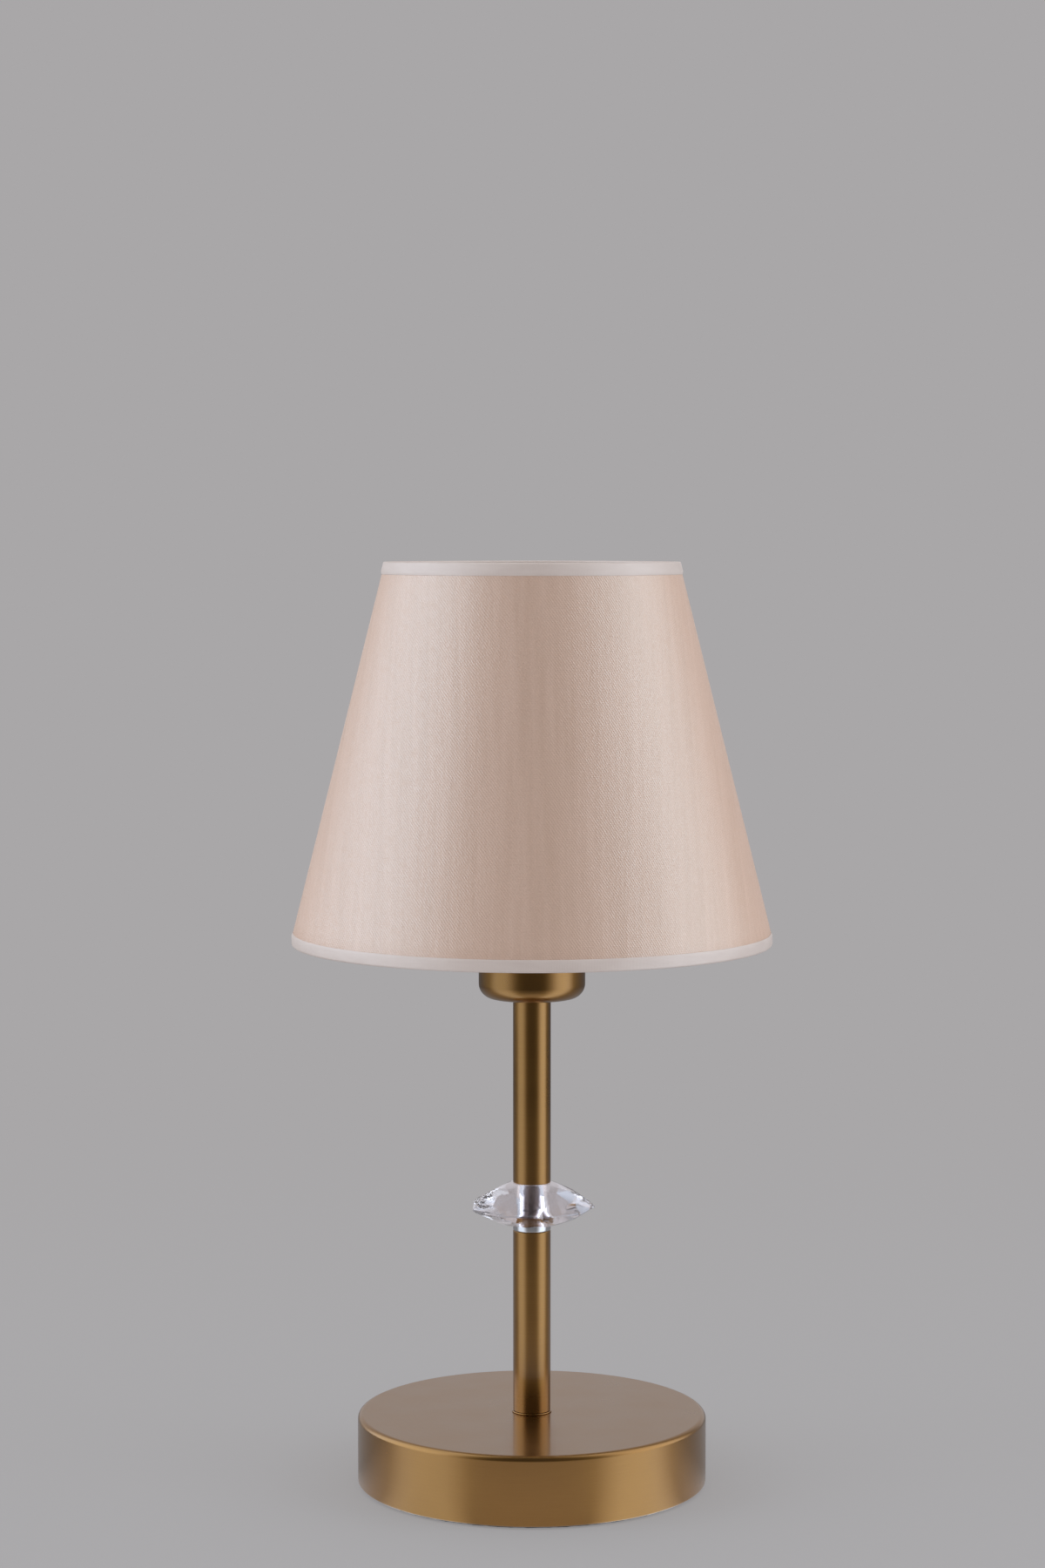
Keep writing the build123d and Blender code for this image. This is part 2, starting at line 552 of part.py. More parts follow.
def panel_layer(outside, inside):
    """One layer of the shade panel, between two depths from the cloth's face."""
    levels = (PANEL_BOTTOM, HEM_TOP, PANEL_TOP)
    outer_line = [(panel_radius(level, outside), level) for level in levels]
    inner_line = [(panel_radius(level, inside), level) for level in reversed(levels)]
    with BuildPart() as layer:
        with BuildSketch(Plane.XZ):
            with BuildLine():
                Polyline(*outer_line, *inner_line, close=True)
            make_face()
        revolve(axis=Axis.Z)
    return layer


# Shade panel: cloth with a lapped seam at the back, on a plastic liner
shade_liner = panel_layer(FABRIC_THICKNESS + GLUE_GAP, PANEL_THICKNESS)
cloth_panel = panel_layer(0, FABRIC_THICKNESS)

seam_bottom = HEM_TOP + GLUE_GAP
seam_top = SHADE_TOP - TAPE_HEIGHT - GLUE_GAP
seam_arc = SEAM_WIDTH / HEM_RADIUS
seam_side = Plane(
    origin=(0, 0, 0),
    x_dir=(sin(seam_arc / 2), cos(seam_arc / 2), 0),
    z_dir=(cos(seam_arc / 2), -sin(seam_arc / 2), 0),
)
with BuildPart() as shade_fabric:
    add(cloth_panel.part)
    with BuildSketch(seam_side):
        with BuildLine():
            Polyline(
                (panel_radius(seam_bottom, FABRIC_THICKNESS), seam_bottom),
                (panel_radius(seam_bottom, -FABRIC_THICKNESS), seam_bottom),
                (panel_radius(seam_top, -FABRIC_THICKNESS), seam_top),
                (panel_radius(seam_top, FABRIC_THICKNESS), seam_top),
                close=True,
            )
        make_face()
    revolve(axis=Axis.Z, revolution_arc=degrees(seam_arc))

# Binding tapes: each wraps over the panel's edge and round the wire behind it
tape_outside = TAPE_THICKNESS + GLUE_GAP
bottom_tape_inside = BOTTOM_WIRE_RADIUS - WIRE_REACH
with BuildPart() as bottom_trim:
    with BuildSketch(Plane.XZ):
        with BuildLine():
            Polyline(
                (HEM_RADIUS + GLUE_GAP, HEM_TOP),
                (HEM_RADIUS + tape_outside, HEM_TOP),
                (HEM_RADIUS + tape_outside, SHADE_BOTTOM),
                (bottom_tape_inside - TAPE_THICKNESS, SHADE_BOTTOM),
                (bottom_tape_inside - TAPE_THICKNESS, HEM_TOP),
                (bottom_tape_inside, HEM_TOP),
                (bottom_tape_inside, SHADE_BOTTOM + TAPE_THICKNESS),
                (HEM_RADIUS + GLUE_GAP, SHADE_BOTTOM + TAPE_THICKNESS),
                close=True,
            )
        make_face()
    revolve(axis=Axis.Z)
    # A notch for each arm, from inside as far as the wire
    for index in range(ARM_COUNT):
        azimuth = radians(ARM_FIRST_ANGLE + index * 360 / ARM_COUNT)
        outward = Vector(cos(azimuth), sin(azimuth), 0)
        notch_start = outward * (bottom_tape_inside - 2 * TAPE_THICKNESS) + Vector(0, 0, BOTTOM_WIRE_Z)
        with BuildSketch(Plane(origin=notch_start, z_dir=outward)):
            Circle(ARM_DIAMETER / 2 + ARM_CLEARANCE)
        extrude(amount=3 * TAPE_THICKNESS, mode=Mode.SUBTRACT)

top_tape_bottom = SHADE_TOP - TAPE_HEIGHT
top_tape_ceiling = SHADE_TOP - TAPE_THICKNESS
top_tape_depth = PANEL_THICKNESS + 2 * WIRE_REACH * LEAN_FACTOR
with BuildPart() as top_trim:
    with BuildSketch(Plane.XZ):
        with BuildLine():
            Polyline(
                (panel_radius(top_tape_bottom, -GLUE_GAP), top_tape_bottom),
                (panel_radius(top_tape_bottom, -tape_outside), top_tape_bottom),
                (panel_radius(SHADE_TOP, -tape_outside), SHADE_TOP),
                (panel_radius(SHADE_TOP, top_tape_depth + TAPE_THICKNESS), SHADE_TOP),
                (panel_radius(top_tape_bottom, top_tape_depth + TAPE_THICKNESS), top_tape_bottom),
                (panel_radius(top_tape_bottom, top_tape_depth), top_tape_bottom),
                (panel_radius(top_tape_ceiling, top_tape_depth), top_tape_ceiling),
                (panel_radius(top_tape_ceiling, -GLUE_GAP), top_tape_ceiling),
                close=True,
            )
        make_face()
    revolve(axis=Axis.Z)

# Bulb: contact tip, insulator, screw cap, housing and dome
bulb_tip = disc(BULB_TIP_DIAMETER / 2, TIP_BOTTOM, BULB_TIP_HEIGHT)

with BuildPart() as bulb_insulator:
    with BuildSketch(Plane.XZ):
        with BuildLine():
            Polyline(
                (0, INSULATOR_BOTTOM),
                (BULB_TIP_DIAMETER / 2 + INSULATOR_SHOULDER, INSULATOR_BOTTOM),
                (BULB_CAP_BORE_RADIUS, BULB_CAP_BOTTOM),
                (0, BULB_CAP_BOTTOM),
                close=True,
            )
        make_face()
    revolve(axis=Axis.Z)

with BuildPart() as bulb_cap:
    with BuildSketch(Plane.XY.offset(BULB_CAP_BOTTOM)):
        Circle(BULB_CAP_RADIUS)
    extrude(amount=BULB_CAP_TOP - BULB_CAP_BOTTOM)
    offset(amount=-BULB_CAP_SHEET, openings=bulb_cap.faces().sort_by(Axis.Z)[-1])

seam_drop = DOME_CENTRE - DOME_BOTTOM
dome_seam_radius = (BULB_RADIUS**2 - seam_drop**2) ** 0.5
dome_bore = BULB_RADIUS - BULB_WALL
dome_seam_bore = (dome_bore**2 - seam_drop**2) ** 0.5
housing_shoulder_radius = BULB_CAP_RADIUS + HOUSING_SHOULDER
collar_top = BULB_CAP_TOP + HOUSING_COLLAR
with BuildPart() as bulb_dome:
    with BuildSketch(Plane.XZ):
        with BuildLine():
            CenterArc((0, DOME_CENTRE), BULB_RADIUS, -degrees(atan2(seam_drop, dome_seam_radius)),
                      90 + degrees(atan2(seam_drop, dome_seam_radius)))
            Line((0, BULB_TOP), (0, BULB_TOP - BULB_WALL))
            CenterArc((0, DOME_CENTRE), dome_bore, -degrees(atan2(seam_drop, dome_seam_bore)),
                      90 + degrees(atan2(seam_drop, dome_seam_bore)))
            Line((dome_seam_bore, DOME_BOTTOM), (dome_seam_radius, DOME_BOTTOM))
        make_face()
    revolve(axis=Axis.Z)

with BuildPart() as bulb_housing:
    with BuildSketch(Plane.XZ):
        with BuildLine():
            Polyline(
                (NECK_RADIUS - BULB_WALL, collar_top),
                (NECK_RADIUS - BULB_WALL, BULB_CAP_TOP - HOUSING_NECK_DEPTH),
                (NECK_RADIUS, BULB_CAP_TOP - HOUSING_NECK_DEPTH),
                (NECK_RADIUS, BULB_CAP_TOP),
                (housing_shoulder_radius, BULB_CAP_TOP),
                (housing_shoulder_radius, collar_top),
            )
            TangentArc(
                (dome_seam_radius, DOME_BOTTOM),
                (housing_shoulder_radius, collar_top),
                tangent=(-seam_drop, -dome_seam_radius),
            )
            Line((dome_seam_radius, DOME_BOTTOM), (dome_seam_bore, DOME_BOTTOM))
            TangentArc(
                (dome_seam_bore, DOME_BOTTOM),
                (NECK_RADIUS - BULB_WALL, collar_top),
                tangent=(-seam_drop, -dome_seam_radius),
            )
        make_face()
    revolve(axis=Axis.Z)

# Each piece under its own name
pieces = {
    "base_cover": base_cover,
    "ballast": ballast,
    "base_washer": base_washer,
    "lock_washer": lock_washer,
    "base_nut": base_nut,
    "base_plate": base_plate,
    "felt_pad": felt_pad,
    "cord_grommet": cord_grommet,
    "tie_rod": tie_rod,
    "stem_washer": stem_washer,
    "lower_tube": lower_tube,
    "upper_tube": upper_tube,
    "centring_bushes": centring_bushes,
    "bead_collar": bead_collar,
    "bead": bead,
    "holder_cup": holder_cup,
    "holder_cap": holder_cap,
    "contact_block": contact_block,
    "terminal_screws": terminal_screws,
    "centre_contact": centre_contact,
    "screw_shell": screw_shell,
    "holder_sleeve": holder_sleeve,
    "shade_ring": shade_ring,
    "fitter_ring": fitter_ring,
    "fitter_arms": fitter_arms,
    "bottom_wire": bottom_wire,
    "top_wire": top_wire,
    "shade_liner": shade_liner,
    "shade_fabric": shade_fabric,
    "bottom_trim": bottom_trim,
    "top_trim": top_trim,
    "bulb_tip": bulb_tip,
    "bulb_insulator": bulb_insulator,
    "bulb_cap": bulb_cap,
    "bulb_housing": bulb_housing,
    "bulb_dome": bulb_dome,
}
os.makedirs("parts", exist_ok=True)
for name, piece in pieces.items():
    piece.part.label = name
    export_step(piece.part, f"parts/{name}.step")
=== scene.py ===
"""Dress a packed table lamp: turned metal, a faceted bead, a cloth shade, its bulb and a studio stage.

Metres throughout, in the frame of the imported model: +Z up, the felt on the floor, +Y the back.
"""

import json
import math

import bmesh
import bpy
from bpy.props import FloatProperty, FloatVectorProperty, IntProperty, PointerProperty
from mathutils import Matrix, Vector


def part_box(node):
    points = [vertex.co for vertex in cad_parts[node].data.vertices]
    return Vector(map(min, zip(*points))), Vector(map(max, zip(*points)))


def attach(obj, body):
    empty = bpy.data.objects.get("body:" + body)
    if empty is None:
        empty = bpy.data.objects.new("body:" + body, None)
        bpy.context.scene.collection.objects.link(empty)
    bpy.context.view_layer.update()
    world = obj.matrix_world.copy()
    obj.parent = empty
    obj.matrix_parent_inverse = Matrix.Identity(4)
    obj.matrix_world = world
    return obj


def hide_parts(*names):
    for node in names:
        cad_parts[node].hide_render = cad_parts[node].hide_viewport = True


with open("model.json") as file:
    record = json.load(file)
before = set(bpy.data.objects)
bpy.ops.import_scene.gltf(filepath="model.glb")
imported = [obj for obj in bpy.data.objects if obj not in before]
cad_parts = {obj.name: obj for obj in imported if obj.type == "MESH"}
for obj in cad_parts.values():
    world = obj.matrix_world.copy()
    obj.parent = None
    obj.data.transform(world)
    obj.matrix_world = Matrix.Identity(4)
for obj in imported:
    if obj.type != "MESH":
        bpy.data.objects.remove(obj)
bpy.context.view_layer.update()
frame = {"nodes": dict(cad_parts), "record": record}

bl_info = {
    "name": "Table lamp dresser",
    "version": (1, 0, 0),
    "blender": (4, 5, 0),
    "location": "3D View > Sidebar > Lamp",
    "description": "Models and finishes the pieces of a table lamp around its packed frame",
    "category": "Object",
}

# Bodies of the frame
STAND = "lamp_stand"
SHADE = "shade"
RING = "shade_ring"
BULB = "bulb"

# Angles and distances that the modelling tools work to
WELD = 1e-6
WINDING_WELD = 1e-5
SHARP = math.radians(35)
FACET = math.radians(20)
COPLANAR = math.radians(0.2)

# Counts of faces, of rows up the cloth and of the fitter's arms
BASE_STEPS = 256
SHADE_STEPS = 288
CLOTH_ROWS = 32
THREAD_STEPS = 96
CAP_WAVE_STEPS = 12
GROMMET_STEPS = 64
HOLE_STEPS = 48
NOTCH_STEPS = 24
FLOOR_STEPS = 128
ARM_COUNT = 3

# Lengths of the cutters, in thicknesses of what they cut
DRILL_REACH = 8
NOTCH_REACH = 6

# What wanders, as waves: a count round the axis, a slant to the metre up it, and a phase
FELT_WAVES = ((37, 0, 0), (61, 0, 1), (113, 0, 2))
TAPE_WAVES = ((23, 0, 0), (41, 0, 0.8), (67, 0, 2.2))
CLOTH_WAVES = ((5, 21, 0), (9, -33, 1.3), (14, 12, 2.1))

# Where the studio's light changes, by heading: from -1 in front to 1 behind
FRONT_EDGE = (-0.92, -0.45)
SIDE_EDGE = (-0.08, 0.34)
REAR_EDGE = (0.6, 0.92)
BEAD_FRONT_EDGE = (-0.99, -0.8)

# Where it changes from -1 on the left to 1 on the right, by the square of that, and by height
ACROSS = (-1, 1)
RIGHT_EDGE = (-0.5, 0.5)
BEAD_SIDE_EDGE = (0.45, 0.95)
UPPER_EDGE = (0.5, 0.85)

# Share of the side light's lean that its front edge takes, the other way round
FRONT_LEAN = -0.25

# Where the floor's light changes, in metres from the lamp's axis or behind it
CLOSE_FLOOR = (0.1, 0.35)
NEAR_FLOOR = (0.25, 0.95)
FAR_FLOOR = (0.3, 1.2)
BESIDE_FLOOR = (-0.03, 0.03)

# The middle of a noise's range, and the width of the wave texture's bands at a scale of 1
MIDDLE = (0.3, 0.7)
WAVE_BAND = math.tau / 20

# Places of the mix node's sockets, whose names repeat for every kind of value
MIX_VALUES = (2, 3)
MIX_COLOURS = (6, 7)
MIXED_VALUE = 0
MIXED_COLOUR = 2

# Every slot's plain colour, as the record gives it
SLOT_COLOURS = {entry["slot"]: entry["base_color"][:3] for entry in frame["record"]["materials"]}


def number(name, description, default, **limits):
    """A number with its limits, unit or subtype."""
    return FloatProperty(name=name, description=description, default=default, **limits)


def length(name, description, default):
    """A size in metres."""
    return number(name, description, default, min=0, unit="LENGTH", precision=5)


def colour(name, description, default):
    """A linear colour."""
    return FloatVectorProperty(
        name=name, description=description, default=default, min=0, max=1, subtype="COLOR", size=3
    )


def glow(name, description, default):
    """A brightness in times the backdrop's."""
    return number(name, description + ", against the backdrop", default, min=0)


def gloss(name, where, default):
    """A brightness that gloss reflects from a side of the studio."""
    return glow(name, "What gloss reflects from " + where, default)


def fraction(name, description, default):
    """A share of something, from 0 to 1."""
    return number(name, description, default, min=0, max=1, subtype="FACTOR")


def facing(name, description, default):
    """A heading, from -1 in front to 1 behind."""
    return number(name, description, default, min=-1, max=1)


def angle(name, description, degrees):
    """An angle, shown in degrees."""
    return number(name, description, math.radians(degrees), subtype="ANGLE")


class LampSizes(bpy.types.PropertyGroup):
    """Sizes of the modelled pieces that the frame doesn't give."""

    turn_steps: IntProperty(
        name="Turn steps", description="Faces round a turned piece", default=192, min=48
    )
    rod_hole: length("Rod hole", "Radius of the holes that the tie rod passes", 0.0052)
    cover_sheet: length("Cover sheet", "Sheet thickness of the base cover", 0.0012)
    cover_edge: length("Cover edge", "Radius of the cover's top edge", 0.002)
    cover_rim: length("Cover rim", "Radius of the cover's lower rim", 0.0009)
    grommet_bore: length("Grommet bore", "Radius of the hole for the cord", 0.0033)
    grommet_wall: length("Grommet wall", "Wall of the grommet's neck", 0.001)
    grommet_flange: length("Grommet flange", "Thickness of the grommet's flange and lip", 0.0015)
    grommet_play: length("Grommet play", "Gap between the grommet's neck and its hole", 0.0001)
    grommet_edge: length("Grommet edge", "Rounding of the grommet's edges", 0.0004)
    grommet_lip: fraction("Grommet lip", "Share of the flange's reach that the inner lip has", 0.25)
    felt_trim: length("Felt trim", "How far the felt's edge is cut in", 0.0004)
    felt_ragged: length("Felt ragged", "How far each wave of the felt's edge wanders", 0.00012)
    tube_wall: length("Tube wall", "Wall of the stem tubes", 0.001)
    metal_edge: length("Metal edge", "Rounding of the metal edges", 0.00022)
    collar_edge: length("Collar edge", "Rounding of the bright collar's edges", 0.0004)
    seat_gap: length("Seat gap", "Gap left at each end of the stem's rings, which clears the bead", 0.00003)
    bead_edge: length("Bead edge", "Polished rounding of the bead's edges", 0.00013)
    cup_wall: length("Cup wall", "Sheet thickness of the lampholder cup", 0.001)
    cup_corner: length("Cup corner", "Radius of the cup's lower corner", 0.0055)
    plastic_edge: length("Plastic edge", "Rounding of the moulded edges", 0.0003)
    sleeve_wall: length("Sleeve wall", "Wall of the lampholder sleeve", 0.0042)
    sleeve_skirt: length("Sleeve skirt", "Height of the sleeve inside the cup", 0.003)
    sleeve_flange: length("Sleeve flange", "Thickness of the sleeve's flange", 0.002)
    thread_pitch: length("Shade thread pitch", "Pitch of the thread for the shade ring", 0.0025)
    thread_depth: length("Shade thread depth", "Height of that thread's crest", 0.00018)
    thread_width: length("Shade thread width", "Width of that thread at its root", 0.0015)
    thread_crest: length("Shade thread crest", "Width of that thread at its crest", 0.00045)
    cap_pitch: length("Bulb thread pitch", "Pitch of the bulb cap's rolled thread", 0.00363)
    cap_depth: length("Bulb thread depth", "Depth of the bulb cap's rolled thread", 0.0009)
    cap_sheet: length("Bulb cap sheet", "Sheet thickness of the bulb's cap", 0.0003)
    cloth: length("Cloth", "Thickness of the shade cloth", 0.0004)
    lap: length("Lap", "Width of the cloth's lapped seam at the back", 0.010)
    lap_ramp: length("Lap ramp", "Width over which the cloth climbs onto the lap", 0.003)
    lap_rise: length("Lap rise", "How far the lapped end stands off the cloth's face", 0.00042)
    cloth_wander: length("Cloth wander", "How far the cloth wanders from a true cone", 0.00006)
    tape: length("Tape", "Thickness of the binding tape", 0.0005)
    tape_edge: length("Tape edge", "Height of the binding tape's thin edge on the cloth", 0.00012)
    tape_thinning: length("Tape thinning", "Width over which the binding tape thins to its edge", 0.0012)
    tape_pucker: length("Tape pucker", "How far the binding tape puckers", 0.00005)
    low_fold: length("Lower fold", "Radius of the lower tape's folds", 0.0008)
    top_fold: length("Upper fold", "Radius of the upper tape's folds", 0.0006)
    top_round: length("Upper rounding", "Rounding of the upper tape's edges", 0.0001)
    twill_pitch: length("Twill pitch", "Spacing of the twill's diagonals", 0.00084)
    weft_pitch: length("Weft pitch", "Spacing of the weft threads", 0.00074)
    tape_rib: length("Tape rib", "Spacing of the tape's crosswise ribs", 0.00045)
    tape_weft: length("Tape weft", "Spacing of the tape's lengthwise threads", 0.00038)


class LampColours(bpy.types.PropertyGroup):
    """Colours of the finishes that show most."""

    brass: colour("Brass", "Lacquered brass", (0.36, 0.18, 0.041))
    brass_deep: colour("Deep brass", "Darker patches of the lacquered brass", (0.315, 0.155, 0.034))
    # The tie rod's colour is darker than its zinc plating would be: painted shade, so that the core of the
    # bead shows dark.
    rod_steel: colour("Rod steel", "Dark steel of the tie rod", (0.3, 0.265, 0.255))
    acrylic: colour("Acrylic", "Clear acrylic of the bead", (0.935, 0.885, 0.925))
    cloth: colour("Cloth", "Satin twill", (0.712, 0.39, 0.234))
    cloth_pale: colour("Pale cloth", "Paler yarns of the twill", (0.868, 0.526, 0.364))
    cloth_gloss: colour("Cloth gloss", "Tint of the twill's gloss", (0.68, 0.94, 1.0))
    tape: colour("Tape", "Binding tape", (0.69, 0.575, 0.51))
    tape_pale: colour("Pale tape", "Paler yarns of the tape", (0.75, 0.64, 0.575))
    tape_gloss: colour("Tape gloss", "Tint of the tape's gloss", (0.96, 0.98, 1.0))


class LampStage(bpy.types.PropertyGroup):
    """The camera, the lights and the floor."""

    camera_place: FloatVectorProperty(
        name="Camera place", description="Where the camera stands", default=(-0.0035, -1.277, 0.353),
        subtype="TRANSLATION", unit="LENGTH",
    )
    camera_pitch: angle("Camera pitch", "How far the camera looks down", 4.1)
    camera_lens: number("Lens", "Focal length for a 36 mm sensor", 79.6, unit="CAMERA")
    backdrop: colour("Backdrop", "Grey of the floor and backdrop", (0.397, 0.386, 0.392))
    side_light: colour("Side light", "Cool light from both sides", (0.35, 0.395, 0.45))
    right_light: colour("Right light", "Warmer light above the floor on the right", (0.375, 0.397, 0.42))
    front_glow: gloss("Front glow", "the front", 0.22)
    left_glow: gloss("Left glow", "the left", 3.95)
    right_glow: gloss("Right glow", "the right", 3.7)
    left_floor: gloss("Left floor", "the floor on the left", 3.1)
    right_floor: gloss("Right floor", "the floor on the right", 3.95)
    left_far: gloss("Left far floor", "the far floor on the left", 2.8)
    right_far: gloss("Right far floor", "the far floor on the right", 4.9)
    side_front: facing("Side front", "Where the side light above the floor starts", 0.1)
    side_back: facing("Side back", "Where the side light above the floor ends", 0.48)
    floor_front: facing("Floor front", "Where the side light in the floor starts", 0.0)
    floor_back: facing("Floor back", "Where the side light in the floor ends", -0.03)
    side_lean: fraction("Side lean", "How much further round the left light above the floor reaches", 0.14)
    floor_lean: fraction("Floor lean", "How much further round the left light in the floor reaches", 0.02)
    upper_glow: fraction("Upper glow", "How bright both sides are overhead, against lower down", 0.8)
    gap_glow: gloss("Gap glow", "past each side", 0.4)
    rear_glow: gloss("Rear glow", "behind", 1.28)
    floor_rear: gloss("Floor rear", "the floor behind", 0.35)
    table_glow: gloss("Table glow", "the floor close by", 1.0)
    table_fade: fraction("Table fade", "Share of the table glow that is left behind the lamp", 0.2)
    floor_shine: fraction("Floor shine", "Share of the side light that gloss sees again in the floor", 0.74)
    bead_front: glow("Bead front", "What shows through the bead from straight in front", 0.3)
    bead_glow: glow("Bead glow", "What shows through the bead from behind", 1.05)
    bead_side: glow("Bead side", "What shows through the bead from both sides", 1.9)
    bead_bounces: IntProperty(
        name="Bead bounces", description="How often light may turn back inside the bead", default=16, min=4
    )
    ambient: glow("Ambient", "Soft light from all round", 1.8)
    bounce: glow("Bounce", "Soft light from the floor", 0.9)
    floor_radius: length("Floor radius", "Radius of the floor", 6.0)
    floor_drop: length("Floor drop", "Gap under the felt", 0.0002)
    floor_ahead: length("Floor ahead", "How far in front of the stem the floor's side lights meet", 0.04)
    floor_glow: fraction("Floor glow", "Share of the floor's grey that takes no shadow", 0.6)
    floor_albedo: fraction("Floor albedo", "Reflectance of the floor's shadowed share", 0.2)
    softbox_angle: angle("Softbox angle", "Turn of each softbox from the camera's side", 75)
    softbox_distance: length("Softbox distance", "From the lamp to each softbox", 1.05)
    softbox_width: length("Softbox width", "Width of each softbox", 0.7)
    softbox_height: length("Softbox height", "Height of each softbox", 1.3)
    softbox_centre: length("Softbox centre", "Height of each softbox's middle", 0.55)
    left_softbox: number("Left softbox", "Brightness of the left softbox's face", 1.5, min=0)
    right_softbox: number("Right softbox", "Brightness of the right softbox's face", 1.5, min=0)


def sizes():
    """The sizes in use."""
    return bpy.context.scene.lamp_sizes


def colours():
    """The colours in use."""
    return bpy.context.scene.lamp_colours


class NodeTree:
    """A node tree and the few kinds of node that are added to it."""

    def __init__(self, tree):
        self.tree = tree

    def node(self, kind, inputs=None, **settings):
        """Add a node, set it up, and link or set its inputs."""
        made = self.tree.nodes.new(kind)
        for key, value in settings.items():
            setattr(made, key, value)
        for key, value in (inputs or {}).items():
            if isinstance(value, bpy.types.NodeSocket):
                self.tree.links.new(value, made.inputs[key])
            else:
                made.inputs[key].default_value = value
        return made

    def place(self, scale=(1, 1, 1), turn=0.0, source="Object", shift=(0, 0, 0)):
        """The piece's own coordinates, scaled, turned about Z and shifted."""
        where = self.node("ShaderNodeTexCoord").outputs[source]
        inputs = {"Vector": where, "Location": shift, "Rotation": (0, 0, turn), "Scale": scale}
        return self.node("ShaderNodeMapping", inputs, vector_type="POINT").outputs["Vector"]

    def weave_place(self, scale=(1, 1, 1), degrees=0):
        """The piece's UV coordinates, scaled and turned."""
        return self.place(scale, math.radians(degrees), "UV")

    def noise(self, place, scale=1.0, detail=2.0):
        """Noise from 0 to 1."""
        inputs = {"Vector": place, "Scale": scale, "Detail": detail}
        return self.node("ShaderNodeTexNoise", inputs).outputs["Fac"]

    def ribs(self, place, pitch, wander):
        """Parallel ridges across the first coordinate, from 0 to 1."""
        inputs = {"Vector": place, "Scale": WAVE_BAND / pitch, "Distortion": wander, "Detail": 1.0}
        return self.node("ShaderNodeTexWave", inputs, bands_direction="X").outputs["Fac"]

    def between(self, value, low, high, edge=MIDDLE, kind="LINEAR"):
        """A value carried from the range that an edge gives to another."""
        inputs = {"Value": value, "From Min": edge[0], "From Max": edge[1], "To Min": low, "To Max": high}
        return self.node("ShaderNodeMapRange", inputs, interpolation_type=kind).outputs["Result"]

    def ease(self, value, low, high, edge, shift=0.0):
        """A smooth step from one level to another, across an edge that may be shifted."""
        return self.between(value, low, high, (edge[0] + shift, edge[1] + shift), "SMOOTHSTEP")

    def blend(self, share, first, second):
        """A blend of two values."""
        inputs = {"Factor": share, **dict(zip(MIX_VALUES, (first, second)))}
        return self.node("ShaderNodeMix", inputs).outputs[MIXED_VALUE]

    def mix(self, share, first, second):
        """A blend of two colours."""
        inputs = {"Factor": share}
        for key, tone in zip(MIX_COLOURS, (first, second)):
            inputs[key] = tone if isinstance(tone, bpy.types.NodeSocket) else (*tone, 1)
        return self.node("ShaderNodeMix", inputs, data_type="RGBA").outputs[MIXED_COLOUR]

    def reckon(self, operation, first, second):
        """Two values put together by an operation."""
        return self.node("ShaderNodeMath", {0: first, 1: second}, operation=operation).outputs["Value"]

    def sum(self, first, second):
        """Two values added."""
        return self.reckon("ADD", first, second)

    def times(self, first, second):
        """Two values multiplied."""
        return self.reckon("MULTIPLY", first, second)

    def weigh(self, *parts):
        """The sum of values, each times its weight."""
        *others, last = [self.times(value, weight) for value, weight in parts]
        for part in reversed(others):
            last = self.sum(part, last)
        return last

    def bump(self, height, distance, strength):
        """A normal roughened by a height from 0 to 1."""
        inputs = {"Height": height, "Distance": distance, "Strength": strength}
        return self.node("ShaderNodeBump", inputs).outputs["Normal"]

    def split(self, where):
        """A place's X, Y and Z."""
        return self.node("ShaderNodeSeparateXYZ", {0: where}).outputs

    def distance(self, where):
        """A place's distance from the origin."""
        return self.node("ShaderNodeVectorMath", {0: where}, operation="LENGTH").outputs["Value"]

    def heading(self, where):
        """The level direction of a place, as its X and Y."""
        flat = self.node("ShaderNodeVectorMath", {0: where, 1: (1, 1, 0)}, operation="MULTIPLY").outputs[0]
        return self.split(self.node("ShaderNodeVectorMath", {0: flat}, operation="NORMALIZE").outputs[0])

    def bead_view(self, where, stage):
        """What shows through the bead: dark straight in front, bright to both sides, pale behind."""
        ahead = self.heading(where)
        aside = self.times(ahead["X"], ahead["X"])
        pale = self.ease(aside, stage.bead_glow, stage.bead_side, BEAD_SIDE_EDGE)
        return self.ease(ahead["Y"], stage.bead_front, pale, BEAD_FRONT_EDGE)

    def studio_glow(self, where, stage, left, right, start, stop, lean, rear):
        """What gloss sees of the studio: the share of it that is side light, and how bright it is.

        It is dim in front, has cool light on both sides and is as bright behind as rear says.
        """
        ahead = self.heading(where)
        front = self.sum(ahead["Y"], self.times(ahead["X"], lean * FRONT_LEAN))
        sides = self.ease(front, 0, 1, FRONT_EDGE, start)
        reach = self.sum(ahead["Y"], self.times(ahead["X"], lean))
        past = self.ease(reach, 1, 0, SIDE_EDGE, stop)
        behind = self.ease(ahead["Y"], 0, 1, REAR_EDGE)
        share = self.times(sides, past)
        upper = self.ease(self.split(where)["Z"], 1, stage.upper_glow, UPPER_EDGE)
        lit = self.times(self.between(ahead["X"], left, right, ACROSS), upper)
        dim = self.blend(past, self.blend(behind, stage.gap_glow, rear), stage.front_glow)
        return share, self.blend(share, dim, lit)


class Finish(NodeTree):
    """A material's node tree, built up round its Principled shader."""

    def __init__(self, name, settings):
        self.material = bpy.data.materials.new(name)
        self.material.use_nodes = True
        super().__init__(self.material.node_tree)
        self.shader = self.tree.nodes["Principled BSDF"]
        for socket, value in settings.items():
            self.shader.inputs[socket].default_value = value

    def give(self, socket, value):
        """Link a value to the shader."""
        self.tree.links.new(value, self.shader.inputs[socket])


